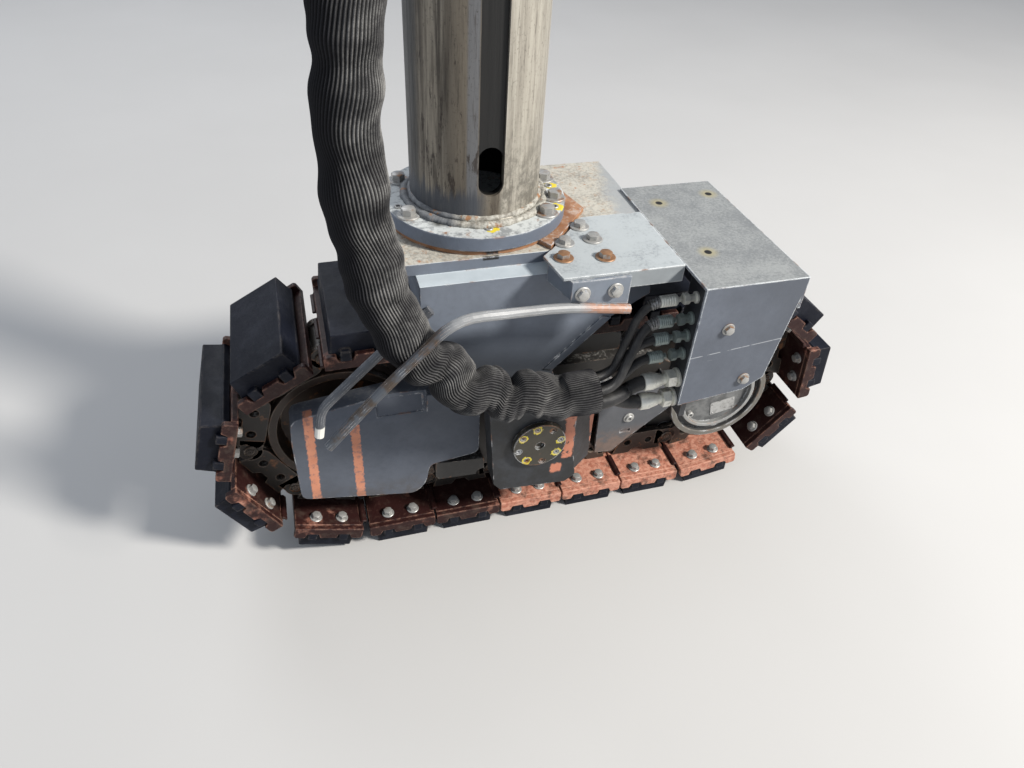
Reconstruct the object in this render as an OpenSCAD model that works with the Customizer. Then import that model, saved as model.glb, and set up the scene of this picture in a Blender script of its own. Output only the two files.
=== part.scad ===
/* [Track] */
// Distance between two chain pins
pitch = 140; // [130:5:150]
// Number of links in the closed loop
links = 19; // [19:1:21]
// Number of teeth on the drive sprocket
teeth = 8; // [7:1:9]
// Width of the track shoes
track_w = 260; // [240:10:300]
// Thickness of the steel shoe plate
shoe_t = 12; // [8:1:16]
// Height of the turned down edges of a shoe plate
shoe_lip = 27; // [20:1:32]
// Gap between two neighbouring shoe plates on the straight run
shoe_gap = 6; // [3:1:10]
// Thickness of the pad under a shoe plate
pad_t = 50; // [40:2:60]
// Gap between two neighbouring pads on the straight run
pad_gap = 22; // [12:1:30]
// Distance from the pin line to the back of the shoe plate
link_out = 35; // [30:1:40]
// Distance from the pin line to the running face of the links
link_in = 24; // [20:1:26]
// Distance from the middle of the chain to the inside of a link plate
link_y = 33; // [30:1:36]
// Thickness of a link plate
link_t = 15; // [10:1:18]
// Radius of the chain pins
pin_r = 13; // [10:0.5:14]
// Place of the first pin along the lower run, as a share of the pitch
pin_phase = 0.15; // [0:0.05:0.95]

/* [Running gear] */
// Distance from the idler to the pivot, along the track
idler_to_pivot = 350; // [330:5:370]
// Height of the pivot above the wheel centres
pivot_rise = 20; // [10:5:30]
// Radius of the idler axle
idler_axle_r = 22; // [16:1:26]
// Radius of the hub of the idler
idler_hub_r = 46; // [38:1:56]
// Radial depth of the rim of the idler
idler_rim = 24; // [18:1:32]
// Height of the guide flange above the rim of the idler
idler_flange_h = 8; // [4:1:9]
// Number of lower rollers
rollers = 5; // [4:1:5]
// Radius of a lower roller
roller_r = 38; // [34:1:42]
// Height of the guide flange of a lower roller
roller_flange_h = 7; // [4:1:9]
// Radius of a roller axle
roller_axle_r = 12; // [9:1:16]
// How much nearer the first lower roller is to the idler than the radius of the pin line
roller_near = 20; // [16:1:22]
// How much farther the last lower roller is from the sprocket than the radius of the pin line
roller_far = 26; // [22:1:40]
// Radius of the drive casing at its near ring
casing_r = 108; // [100:1:114]
// Width of the ring of the drive casing
casing_ring = 12; // [8:1:16]
// Radius of the drive hub that carries the sprocket
drive_hub_r = 69; // [60:1:76]
// Radius of the gearbox cover on the far side
gearbox_r = 84; // [72:1:92]

/* [Track frame] */
// Width over the side plates of the track frame
frame_w = 150; // [140:2:160]
// Thickness of the side plates of the track frame
frame_t = 12; // [8:1:15]
// Distance from the shoe edge to the face of the covers
cover_inset = 0.5; // [0.5:0.5:6]
// Sheet thickness of the covers
cover_t = 6; // [4:0.5:9]
// Reach of a side cover beyond the idler axle
cover_reach = 96; // [88:2:104]
// Height of a side cover above the wheel centres
cover_up = 128; // [120:2:132]
// Depth of a side cover below the wheel centres
cover_down = 129; // [115:2:131]
// Distance from the pivot to the right edge of a side cover
cover_to_pivot = 100; // [99:1:110]
// Distance from the pivot to the left edge of a drive guard
guard_to_pivot = 146; // [140:2:150]
// Height of a drive guard above the wheel centres
guard_up = 72; // [60:2:80]
// Depth of a drive guard below the wheel centres
guard_down = 106; // [96:2:110]
// Gap between a drive guard and the ring of the drive casing
guard_gap = 8; // [4:1:12]

/* [Fork] */
// Distance between the track shoes and a fork leg
fork_gap = 8; // [6:1:12]
// Thickness of a fork leg
leg_t = 49; // [36:1:56]
// Radius of the pivot pin
pivot_r = 45; // [38:1:50]
// Radial play of the pivot pin in the track frame
pivot_play = 0.06; // [0.02:0.01:0.1]
// Radius of the pivot cap
cap_r = 52; // [50:1:58]
// Thickness of the pivot cap
cap_t = 12; // [8:1:18]
// Clearance between the pads on the upper run and the crossbeam
beam_clear = 57.5; // [40:0.5:80]
// Thickness of the top plate
deck_t = 20; // [12:1:24]
// Depth of the crossbeam below the top plate
beam_h = 62; // [50:2:66]
// Distance from the column axis to the pivot, along the track
pivot_x = 86; // [76:1:96]
// Length of the top plate to the left of the column axis
deck_left = 146; // [136:1:154]
// Length of the top plate to the right of the column axis
deck_right = 288; // [284:1:294]
// Distance from the column flange to the side of the top plate
deck_edge = 1; // [0.5:0.5:4]

/* [Column] */
// Outer radius of the lifting column
col_r = 107; // [100:1:110]
// Wall thickness of the lifting column
col_wall = 17; // [12:1:22]
// Height of the top of the column above the ground
col_top_h = 1500; // [1400:10:1600]
// Length of the column that the guide tube holds
guide_l = 600; // [500:10:640]
// Width of the key groove
key_w = 40; // [34:1:46]
// Depth of the key groove
key_d = 8; // [5:1:10]
// Height of the slot at the lower end of the key groove
slot_h = 75; // [60:1:90]
// Height of the lower end of the slot above the flange
slot_z = 45; // [40:1:60]
// Height and width of the weld round the foot of the column
weld = 11; // [7:1:13]
// Radius of the column flange
flange_r = 153; // [150:1:154]
// Thickness of the column flange
flange_t = 24; // [18:1:30]
// Thickness of the plate between the column flange and the top plate
shim_t = 8; // [4:1:16]
// Radius of the bolt circle of the flange
flange_bolt_r = 135; // [133:1:137]

/* [Hose guard] */
// Left edge of the guard hood from the column axis
hood_x = 280; // [276:1:284]
// Width of the guard hood along the track
hood_w = 178; // [166:1:186]
// Distance from the column axis to the face of the guard hood
hood_front = 317; // [305:1:325]
// Distance from the column axis to the far edge of the guard hood
hood_back = 25; // [15:1:40]
// Height of the face of the guard hood
hood_h = 232; // [210:2:240]
// Height of the flange along the right edge of the guard hood
hood_flange_h = 58; // [40:2:60]
// Thickness of the sheet of the guard hood and the adapter plate
sheet_t = 5; // [3:0.5:6]
// Distance from the column axis to the front edge of the adapter plate
adapter_front = 245; // [240:1:250]
// Diameter of the guard rods
rod_d = 16; // [12:1:18]
// Diameter of the woven sleeve
sleeve_d = 76; // [72:1:76]

/* [Hidden] */
$fn = 48;

// The origin is on the column axis, at the middle of the length that the guide tube holds,
// and the column axis lies in the middle plane of the track
mount_h = col_top_h - guide_l / 2;
// Radius of the pin line round both wheels
wrap_r = teeth * pitch / (2 * PI);
wheelbase = (links * pitch - 2 * PI * wrap_r) / 2;
loop_l = links * pitch;
axle_h = wrap_r + link_out + shoe_t + pad_t;
pivot_h = axle_h + pivot_rise;
// Height of the face of the top plate
deck_h = 2 * axle_h + beam_clear + beam_h + deck_t;
idler_x = pivot_x - idler_to_pivot;
sprocket_x = idler_x + wheelbase;
// Half the distance between the insides and between the outsides of the fork legs
fork_in = track_w / 2 + fork_gap;
fork_out = fork_in + leg_t;
flange_z = deck_h + shim_t;
flange_top = flange_z + flange_t;
leg_top = deck_h - deck_t;
// Half the width of the top plate
deck_half = flange_r + deck_edge;
// Half the width over the link plates, and over the frame
chain_half = link_y + link_t;
frame_half = frame_w / 2;
cover_y = track_w / 2 - cover_inset;
// Radius of the flat that the links make round a wheel
inner_r = wrap_r * cos(180 / teeth) - link_in;
seat = 0.3;
past = 1;

// Point of the pin line at the distance s from the foot of the idler: x, height
function on_loop(s) =
    let (arc = PI * wrap_r, t = s - floor(s / loop_l) * loop_l)
    t < wheelbase ? [idler_x + t, axle_h - wrap_r]
    : t < wheelbase + arc ?
        let (a = (t - wheelbase) / wrap_r * 180 / PI)
        [sprocket_x + wrap_r * sin(a), axle_h - wrap_r * cos(a)]
    : t < 2 * wheelbase + arc ? [sprocket_x - (t - wheelbase - arc), axle_h + wrap_r]
    : let (a = (t - 2 * wheelbase - arc) / wrap_r * 180 / PI)
        [idler_x - wrap_r * sin(a), axle_h + wrap_r * cos(a)];
function pin_at(i) = on_loop((i + pin_phase) * pitch);
// Angle of the first pin on the sprocket, from its foot
first_on_sprocket = ceil(wheelbase / pitch - pin_phase);
sprocket_turn = ((first_on_sprocket + pin_phase) * pitch - wheelbase) / wrap_r * 180 / PI;

module on_ground() { translate([0, 0, -mount_h]) children(); }
module both_sides() { for (side = [0, 1]) mirror([0, side, 0]) children(); }
// Places children at the middle of link i, with +X along the link and +Z towards the outside
module at_link(i) {
    a = pin_at(i);
    b = pin_at(i + 1);
    turn = atan2(b[1] - a[1], b[0] - a[0]);
    on_ground()
        translate([(a[0] + b[0]) / 2, 0, (a[1] + b[1]) / 2])
        rotate([0, -turn, 0])
        mirror([0, 0, 1])
        children();
}
// Cylinder along Y from y0 to y1
module rod_y(x, z, y0, y1, r) {
    translate([x, y0, z]) rotate([-90, 0, 0]) cylinder(r = r, h = y1 - y0);
}
// Plate in the XZ plane between y0 and y1
module plate_y(points, y0, y1) {
    translate([0, y1, 0]) rotate([90, 0, 0]) linear_extrude(y1 - y0) polygon(points);
}
// Body turned about an axle along Y, from its half outline as radius and y
module turned_y(x, z, profile) {
    translate([x, 0, z]) rotate([-90, 0, 0]) rotate_extrude() polygon(profile);
}
module hex_bolt(r, h) {
    washer_h = h * 0.2;
    cylinder(r = r * 1.2, h = washer_h, $fn = 12);
    translate([0, 0, washer_h]) cylinder(r = r, h = h - washer_h, $fn = 6);
}
function unit(v) = v / norm(v);
// Outline with each corner rounded over the distance r to both sides, in round_steps steps
round_steps = 3;
function rounded(p, r) = [for (i = [0:len(p) - 1])
    let (q = p[i], a = p[(i + len(p) - 1) % len(p)], b = p[(i + 1) % len(p)],
        s = q + r * unit(a - q), e = q + r * unit(b - q))
    for (k = [0:round_steps])
        let (t = k / round_steps)
        (1 - t) * (1 - t) * s + 2 * t * (1 - t) * q + t * t * e];

module column() {
    slot_low = flange_top + slot_z;
    color("dimgray") on_ground() difference() {
        union() {
            translate([0, 0, flange_top]) cylinder(r = col_r, h = col_top_h - flange_top);
            translate([0, 0, flange_top]) cylinder(r1 = col_r + weld, r2 = col_r, h = weld);
        }
        translate([0, 0, flange_top - past])
            cylinder(r = col_r - col_wall, h = col_top_h - flange_top + 2 * past);
        translate([-key_w / 2, -col_r - past, slot_low + slot_h / 2])
            cube([key_w, key_d + past, col_top_h]);
        for (z = [slot_low + key_w / 2, slot_low + slot_h - key_w / 2])
            rod_y(0, z, -col_r - past, -col_r / 2, key_w / 2);
        translate([-key_w / 2, -col_r - past, slot_low + key_w / 2])
            cube([key_w, col_r / 2, slot_h - key_w]);
    }
}

module flange() {
    color("slategray") on_ground()
        translate([0, 0, flange_z]) cylinder(r = flange_r, h = flange_t);
}

// Directions of the bolts on the flange
flange_bolt_angles = [13, -18, -43, -154, 150, 105, 60];
module flange_bolts() {
    color("silver") on_ground()
        for (a = flange_bolt_angles)
            rotate([0, 0, a]) translate([flange_bolt_r, 0, flange_top]) hex_bolt(12, 15);
}

// Plate under the flange: it is set back all round but for a corner that shows on the right
shim_inset = 4;
shim_corner = 32;
module shim_plate() {
    front = past - deck_half;
    color("sienna") on_ground() translate([0, 0, deck_h]) {
        cylinder(r = flange_r - shim_inset, h = shim_t);
        linear_extrude(shim_t)
            polygon([[0, 0], [0.7 * flange_r, 0.6 * flange_r], [flange_r, 3 * shim_corner],
                [flange_r + shim_corner, -1.25 * shim_corner], [0.58 * flange_r, front]]);
    }
}

beam_low = leg_top - beam_h;
// Distance from the left edge of the top plate to the crossbeam, and from its right edge
beam_in = 17;
beam_out = 37;
// Right, lower and left edge of the arm and the pivot boss, as x and height from the pivot
arm_outline = [[109, 274], [12, 176], [30, 130], [70, 96], [76, -40], [86, -112], [66, -128],
    [-70, -118], [-84, -100], [-98, 101]];
// Outline of a fork leg, as x and height: the arm runs down to the left of the pivot boss
leg_outline = concat(
    [[beam_in - deck_left, leg_top], [deck_right - beam_out, leg_top],
        [deck_right - beam_out + 10, beam_low]],
    [for (p = arm_outline) [pivot_x + p[0], pivot_h + p[1]]],
    [[beam_in - deck_left, beam_low]]);
// Raised lip along the right edge of the arm: its width, and how far it stands out
arm_lip_w = 16;
arm_lip_t = 3;
// Width of the slanted flank at the right of the pivot boss
flank_w = 56;
module fork() {
    color("slategray") on_ground() difference() {
        union() {
            both_sides() {
                plate_y(leg_outline, -fork_out, -fork_in);
                plate_y([
                    [pivot_x + arm_outline[0][0], pivot_h + arm_outline[0][1]],
                    [pivot_x + arm_outline[1][0], pivot_h + arm_outline[1][1]],
                    [pivot_x + arm_outline[1][0] - arm_lip_w, pivot_h + arm_outline[1][1] + 5],
                    [pivot_x + arm_outline[0][0] - arm_lip_w, pivot_h + arm_outline[0][1] + 5]],
                    -fork_out - arm_lip_t, -fork_out);
                translate([0, 0, pivot_h - 110]) linear_extrude(190)
                    polygon([[pivot_x + 60, -fork_out + 2], [pivot_x + 74, -fork_out + 2],
                        [pivot_x + 74 + flank_w, -fork_in - 6], [pivot_x + 74 + flank_w, -fork_in],
                        [pivot_x + 60, -fork_in]]);
            }
            translate([beam_in - deck_left, -fork_in, beam_low])
                cube([deck_left + deck_right - beam_in - beam_out, 2 * fork_in, beam_h]);
            translate([-deck_left, -deck_half, leg_top])
                cube([deck_left + deck_right, 2 * deck_half, deck_t]);
        }
        rod_y(pivot_x, pivot_h, -fork_out - past, fork_out + past, pivot_r);
    }
}

module pivot_pin() {
    color("gray") on_ground() rod_y(pivot_x, pivot_h, -fork_out, fork_out, pivot_r);
}

module pivot_caps() {
    screws = 8;
    color("darkgray") on_ground() both_sides() difference() {
        rod_y(pivot_x, pivot_h, -fork_out - cap_t, -fork_out, cap_r);
        rod_y(pivot_x, pivot_h, -fork_out - cap_t - past, -fork_out - cap_t / 2, cap_r / 6);
        for (i = [0:screws - 1])
            rod_y(pivot_x + (cap_r - 10) * cos(i * 360 / screws + 10),
                pivot_h + (cap_r - 10) * sin(i * 360 / screws + 10),
                -fork_out - cap_t - past, -fork_out - cap_t / 2, 6);
    }
}

sheet_top = deck_h + sheet_t;
// Sheet bolted on the top plate, which carries the guard hood
adapter_lip_x = 184;
adapter_lip_h = 25;
adapter_left = 78;
adapter_back = 66;
// The two ends of its slanted edge beside the column flange
adapter_a = [0.6 * flange_r, -deck_half];
adapter_b = [flange_r + 17, -adapter_back];
module adapter_plate() {
    color("lightslategray") on_ground() {
        translate([0, 0, deck_h]) linear_extrude(sheet_t)
            polygon([adapter_a + [-24, -22], adapter_a, adapter_b, [hood_x, -adapter_back],
                [hood_x, -adapter_front], [adapter_left, -adapter_front]]);
        translate([adapter_lip_x, -adapter_front, deck_h - adapter_lip_h])
            cube([hood_x - adapter_lip_x, sheet_t, adapter_lip_h]);
    }
}

// Places of the bolts on the adapter plate
adapter_bolt_places = [adapter_b + [-14, -32], adapter_a + [22, 9], adapter_b + [-7, -76],
    adapter_a + [5, -35], adapter_b + [-7, -133]];
module adapter_bolts() {
    color("silver") on_ground()
        for (p = adapter_bolt_places)
            translate([p[0], p[1], sheet_top]) hex_bolt(11, 11);
}

module guard_hood() {
    low = sheet_top - hood_h;
    right = hood_x + hood_w;
    color("slategray") on_ground() {
        translate([hood_x, -hood_front, deck_h])
            cube([hood_w, hood_front + hood_back, sheet_t]);
        plate_y([[hood_x, low], [right - 58, low + 14], [right - 25, low + 36],
            [right, deck_h], [right, sheet_top], [hood_x, sheet_top]],
            -hood_front, -hood_front + sheet_t);
        translate([right - sheet_t, -hood_front, sheet_top - hood_flange_h])
            cube([sheet_t, hood_front + hood_back, hood_flange_h]);
        translate([deck_right + seat, hood_back - sheet_t, sheet_top - hood_flange_h])
            cube([right - deck_right - seat, sheet_t, hood_flange_h]);
    }
}

// The rods are round bars bent round the sleeve, one on each side of it
sleeve_gap = 1.5;
rod_r = rod_d / 2;
inner_rod_y = -fork_out - rod_r;
sleeve_y = inner_rod_y - rod_r - sleeve_gap - sleeve_d / 2;
outer_rod_y = sleeve_y - sleeve_d / 2 - sleeve_gap - rod_r;
bracket_x = [91, 188];
bracket_t = 6;
bracket_bolt_x = [109, 163];
web_h = 33;
web_in = 18;
rod_end_y = -adapter_front - bracket_t - rod_r / 2;
rod_rise = 0.16;
rod_drop = 58;
rod_end = [bracket_x[1] + 2, rod_end_y, deck_h - rod_drop];
function rod_z(x) = rod_end[2] + rod_rise * (rod_end[0] - x);
// Height above the rod's axis of the plate edge that rests on it, half a radius behind the axis
rod_seat = rod_r * cos(30) + seat;
// Bends and end of each rod, as x and height above the pivot
outer_bends = [[-95, 380], [-210, 268], [-294, 175]];
inner_bends = [[-114, 337], [-185, 277], [-298, 168], [-308, 112]];
outer_rod_route = concat([rod_end, [bracket_x[0] - 12, rod_end_y, rod_z(bracket_x[0] - 12)]],
    [for (b = outer_bends) [b[0], outer_rod_y + (b == outer_bends[0] ? 4 : 0), pivot_h + b[1]]]);
inner_rod_route =
    [for (b = inner_bends) [b[0], inner_rod_y - (b == inner_bends[3] ? 2 : 0), pivot_h + b[1]]];
// Bracket under the front edge of the adapter plate, an angle whose lower edge follows the rod
module rod_bracket() {
    y0 = -adapter_front - bracket_t;
    color("lightslategray") on_ground() {
        plate_y([[bracket_x[0], rod_z(bracket_x[0]) + rod_seat],
            [bracket_x[1], rod_z(bracket_x[1]) + rod_seat],
            [bracket_x[1], deck_h], [bracket_x[0], deck_h]], y0, -adapter_front);
        translate([bracket_x[0], y0, deck_h - bracket_t])
            cube([adapter_lip_x - seat - bracket_x[0], adapter_front + bracket_t - deck_half - past,
                bracket_t]);
        // Web that runs back from the left end of the bracket to the fork
        translate([0, 0, deck_h - web_h]) linear_extrude(web_h)
            polygon([[bracket_x[0], y0], [bracket_x[0] + bracket_t, y0],
                [bracket_x[0] + bracket_t - web_in, -fork_out - seat],
                [bracket_x[0] - web_in, -fork_out - seat]]);
        for (x = bracket_bolt_x)
            translate([x, y0, deck_h - 22]) rotate([90, 0, 0]) hex_bolt(9, 9);
    }
}

// Sweep of a round section of radius r along points
function sweep_dir(p, i) =
    unit((i < len(p) - 1 ? p[i + 1] : p[i]) - (i > 0 ? p[i - 1] : p[i]));
function sweep_side(d) = unit(cross(d, abs(d[1]) > 0.9 ? [1, 0, 0] : [0, 1, 0]));
module tube(points, r, sides) {
    n = len(points);
    ring = [for (i = [0:n - 1])
        let (d = sweep_dir(points, i), u = sweep_side(d), v = cross(d, u))
        for (k = [0:sides - 1])
            points[i] + r * (cos(k * 360 / sides) * u + sin(k * 360 / sides) * v)];
    walls = [for (i = [0:n - 2]) for (k = [0:sides - 1])
        let (a = i * sides + k, b = i * sides + (k + 1) % sides)
        [a, a + sides, b + sides, b]];
    ends = [[for (k = [0:sides - 1]) k],
        [for (k = [sides - 1:-1:0]) (n - 1) * sides + k]];
    polyhedron(points = ring, faces = concat(walls, ends), convexity = 4);
}
// Route with each inner corner rounded over the distance r to both sides
bend_steps = 5;
function bent(p, r) = [p[0],
    for (i = [1:len(p) - 2])
        let (a = p[i] + r * unit(p[i - 1] - p[i]), c = p[i] + r * unit(p[i + 1] - p[i]))
        for (k = [0:bend_steps])
            let (t = k / bend_steps)
            (1 - t) * (1 - t) * a + 2 * t * (1 - t) * p[i] + t * t * c,
    p[len(p) - 1]];
module guard_rod_outer() {
    color("gray") on_ground() tube(bent(outer_rod_route, 2.5 * rod_d), rod_r, 12);
}
module guard_rod_inner() {
    color("gray") on_ground() tube(bent(inner_rod_route, 1.2 * rod_d), rod_r, 12);
}

// The six hoses end in a row of fittings, one above another, on a plate under the hood
panel_x = 325;
panel_t = 12;
panel_w = 64;
fitting_y = -230;
fitting_l = 58;
nut_l = 22;
// Wall of a fitting round its hose, and of the nut
crimp_t = 2;
nut_t = 4;
// Depth of each fitting below the face of the hood, and the radius of its hose
hose_rows = [[76, 7], [118, 8], [154, 8], [193, 8], [248, 13], [294, 13]];
function fitting_h(row) = sheet_top - row[0];
module hose_panel() {
    low = fitting_h(hose_rows[5]) - 22;
    color("dimgray") on_ground()
        translate([panel_x, fitting_y - panel_w / 2, low])
        cube([panel_t, panel_w, deck_h - low]);
}
module hose_fittings() {
    color("silver") on_ground()
        for (h = hose_rows)
            translate([panel_x - fitting_l, fitting_y, fitting_h(h)]) rotate([0, 90, 0]) {
                cylinder(r = h[1] + crimp_t, h = fitting_l - nut_l);
                translate([0, 0, fitting_l - nut_l]) cylinder(r = h[1] + nut_t, h = nut_l, $fn = 6);
            }
}

sleeve_end = [158, -242, 456];
// Place of each hose in the mouth of the sleeve, as y and height from its middle
mouth = [[5, 24], [-19, 14], [24, 10], [-1, 5], [-19, -11], [10, -18]];
// Straight length of each hose at the mouth, and at its fitting
hose_out = [28, 28, 34, 36, 34, 26];
hose_in = [38, 27, 28, 28, 28, 38];
hose_bend = 23;
module hoses() {
    x1 = panel_x - fitting_l;
    color("black") on_ground()
        for (i = [0:5]) {
            y = sleeve_end[1] + mouth[i][0];
            z = sleeve_end[2] + mouth[i][1];
            end_h = fitting_h(hose_rows[i]);
            tube(bent([[sleeve_end[0], y, z], [sleeve_end[0] + hose_out[i], y, z],
                [x1 - hose_in[i], fitting_y, end_h], [x1, fitting_y, end_h]], hose_bend),
                hose_rows[i][1], 8);
        }
}
sleeve_route = [[-208, -262, 1100], [-208, -262, 1060], [-215, -258, 990], [-218, -254, 920],
    [-214, -249, 840], [-204, -244, 761], [-190, -242, 695], [-169, -242, 637], [-142, -242, 590],
    [-111, -242, 551], [-77, -242, 518], [-37, -242, 491], [10, -242, 474], [60, -242, 464],
    [110, -242, 456], sleeve_end];
module hose_sleeve() {
    color("black") on_ground() tube(sleeve_route, sleeve_d / 2, 10);
}
module hose_coupling() {
    color("silver") on_ground() translate(sleeve_route[0]) cylinder(d = sleeve_d, h = 40);
}

roller_h = axle_h - wrap_r + link_in + roller_r + seat;
roller_x0 = idler_x + wrap_r - roller_near;
roller_step = (sprocket_x - wrap_r - roller_far - roller_x0) / (rollers - 1);
frame_low = roller_h - roller_axle_r - 8;
// Outline of a side plate of the track frame, as x and height
frame_outline = [
    [idler_x - 42, axle_h + 34], [idler_x + 120, axle_h + 42], [idler_x + 170, axle_h + 105],
    [sprocket_x - 150, axle_h + 105], [sprocket_x - 100, axle_h + 70],
    [sprocket_x - 100, axle_h - 70], [sprocket_x - 160, frame_low], [idler_x + 130, frame_low],
    [idler_x + 110, axle_h - 42], [idler_x - 42, axle_h - 34]
];
// Box between the side plates: its distance from the idler, and its lower edge and height
box_in = 170;
box_out = 190;
box_low = 45;
box_h = 150;
// Rail on the frame that carries the upper run of the chain
rail_x = [idler_x + 210, sprocket_x - 210];
rail_top = axle_h + wrap_r - link_in - seat;
// Outline of the bracket over the middle rollers, as x and height
bracket_outline = [
    [pivot_x - 185, axle_h - 68], [pivot_x - 88, axle_h - 74], [pivot_x - 84, axle_h - 110],
    [pivot_x - 96, axle_h - 118], [pivot_x - 185, axle_h - 114]
];
module track_frame() {
    color("dimgray") on_ground() difference() {
        union() {
            both_sides() {
                plate_y(frame_outline, -frame_half, -frame_half + frame_t);
                plate_y(bracket_outline, -cover_y + 2 * cover_t, -frame_half);
                rod_y(sprocket_x, axle_h, -frame_half, -frame_half + frame_t, casing_r - casing_ring);
                plate_y([[rail_x[0], axle_h + 100], [rail_x[1], axle_h + 100],
                    [rail_x[1], rail_top - 12], [rail_x[1] - 30, rail_top], [rail_x[0] + 30, rail_top],
                    [rail_x[0], rail_top - 12]], -chain_half, -link_y);
            }
            translate([idler_x + box_in, -frame_half + frame_t, axle_h - box_low])
                cube([wheelbase - box_in - box_out, frame_w - 2 * frame_t, box_h]);
            rod_y(pivot_x, pivot_h, -fork_in + 2, fork_in - 2, pivot_r + 20);
        }
        rod_y(pivot_x, pivot_h, -fork_out, fork_out, pivot_r + pivot_play);
        rod_y(idler_x, axle_h, -fork_in, fork_in, idler_axle_r);
        rod_y(sprocket_x, axle_h, -fork_in, fork_in, drive_hub_r + past);
        for (i = [0:rollers - 1])
            rod_y(roller_x0 + i * roller_step, roller_h, -cover_y, cover_y, roller_axle_r);
        both_sides() for (x = [pivot_x - 150, pivot_x + 160])
            rod_y(x, axle_h - 75, -frame_half - past, -frame_half + frame_t + past, 26);
    }
}

// Outline of the cover beside the idler, as x and height: its upper edge falls towards the idler
cover_left = idler_x - cover_reach;
cover_right = pivot_x - cover_to_pivot;
cover_top = axle_h + cover_up;
cover_low = axle_h - cover_down;
cover_round = 16;
cover_fall = 24;
// The lower edge steps up by cover_step beyond the middle of the cover
cover_step = 74;
cover_step_x = 99;
cover_outline = [
    [cover_left, cover_top - 3 * cover_fall], [cover_left + 4, cover_top - cover_fall],
    [cover_right - 160, cover_top], [cover_right, cover_top - 6],
    [cover_right, cover_low + cover_step + 13], [cover_right - cover_step_x, cover_low + cover_step],
    [cover_right - cover_step_x - 7, cover_low + 26], [cover_right - cover_step_x - 30, cover_low],
    [cover_left, cover_low + 38]
];
// The face leans back above the height lean_h, from the left edge to the end of the recess in it
lean_h = cover_top - 44;
lean_a = 22;
lean_end = cover_right - 100;
recess_w = 85;
recess_h = 34;
recess_d = 2;
recess_in = 6;
// Inside of the cover, which is open towards the track and stays below the leaning face
cover_wall = 22;
cover_inside = [
    [cover_left + cover_wall, lean_h - recess_in], [cover_right - cover_wall, lean_h - recess_in],
    [cover_right - cover_wall, cover_low + cover_step + cover_wall],
    [cover_right - cover_step_x - cover_wall, cover_low + cover_step + cover_wall - 10],
    [cover_right - cover_step_x - cover_wall, cover_low + cover_wall],
    [cover_left + cover_wall, cover_low + 38 + cover_wall / 2]
];
module side_cover() {
    color("slategray") on_ground() difference() {
        plate_y(rounded(cover_outline, cover_round), -cover_y, -frame_half);
        plate_y(cover_inside, -cover_y + cover_t, -frame_half + past);
        translate([0, -cover_y, lean_h]) rotate([-lean_a, 0, 0]) {
            translate([cover_left - past, -cover_y, 0])
                cube([lean_end - cover_left + past, cover_y, cover_up]);
            translate([lean_end - recess_in - recess_w, -past, recess_in])
                cube([recess_w, past + recess_d, recess_h]);
        }
    }
}
module side_cover_near() { side_cover(); }
module side_cover_far() { mirror([0, 1, 0]) side_cover(); }

// Cover between the pivot boss and the drive ring, with a turned in lower edge
guard_left = pivot_x + guard_to_pivot;
guard_right = sprocket_x - casing_r - guard_gap;
guard_top = axle_h + guard_up;
guard_low = axle_h - guard_down;
guard_lip = 8;
guard_outline = [
    [guard_left, guard_top], [guard_right - 6, guard_top - 14], [guard_right, guard_top - 78],
    [guard_left + 84, guard_low + 38], [guard_left + 45, guard_low], [guard_left + 6, guard_low + 3]
];
// Inside of the guard, which is open towards the track, at the left and at the top
guard_inside = [
    [guard_left - guard_lip, guard_top - guard_lip], [guard_right - guard_lip, guard_top + guard_lip],
    [guard_right - guard_lip, guard_top - 78 + guard_lip / 2],
    [guard_left + 81, guard_low + 38 + guard_lip], [guard_left + 43, guard_low + guard_lip],
    [guard_left - guard_lip, guard_low + 3 + guard_lip]
];
// Middle of the screw hole, and the slot below it
guard_screw = [(guard_left + guard_right) / 2 - 9, axle_h - 15];
guard_screw_r = 9;
guard_slot_w = 22;
module drive_guard() {
    color("dimgray") on_ground() difference() {
        plate_y(guard_outline, -cover_y, -frame_half);
        plate_y(guard_inside, -cover_y + cover_t, -frame_half + past);
        rod_y(guard_screw[0], guard_screw[1], -cover_y - past, -cover_y + cover_t / 2, guard_screw_r);
        translate([guard_screw[0] - guard_slot_w * 0.6, -cover_y - past, guard_screw[1] - 41])
            cube([guard_slot_w, past + cover_t / 2, guard_lip]);
    }
}
module drive_guard_near() { drive_guard(); }
module drive_guard_far() { mirror([0, 1, 0]) drive_guard(); }

module idler() {
    r = inner_r - seat;
    web = 10;
    color("saddlebrown") on_ground()
        turned_y(idler_x, axle_h, [
            [idler_axle_r + 0.1, -chain_half - 8], [idler_hub_r, -chain_half - 8],
            [idler_hub_r + 4, -web], [r - idler_rim, -web], [r - idler_rim + 8, -chain_half],
            [r, -chain_half], [r, -link_y + 4], [r + idler_flange_h, -link_y + 12],
            [r + idler_flange_h, link_y - 12], [r, link_y - 4], [r, chain_half],
            [r - idler_rim + 8, chain_half], [r - idler_rim, web], [idler_hub_r + 4, web],
            [idler_hub_r, chain_half + 8], [idler_axle_r + 0.1, chain_half + 8]]);
}
module idler_axle() {
    color("gray") on_ground()
        rod_y(idler_x, axle_h, -frame_half - 8, frame_half + 8, idler_axle_r);
}

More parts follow.
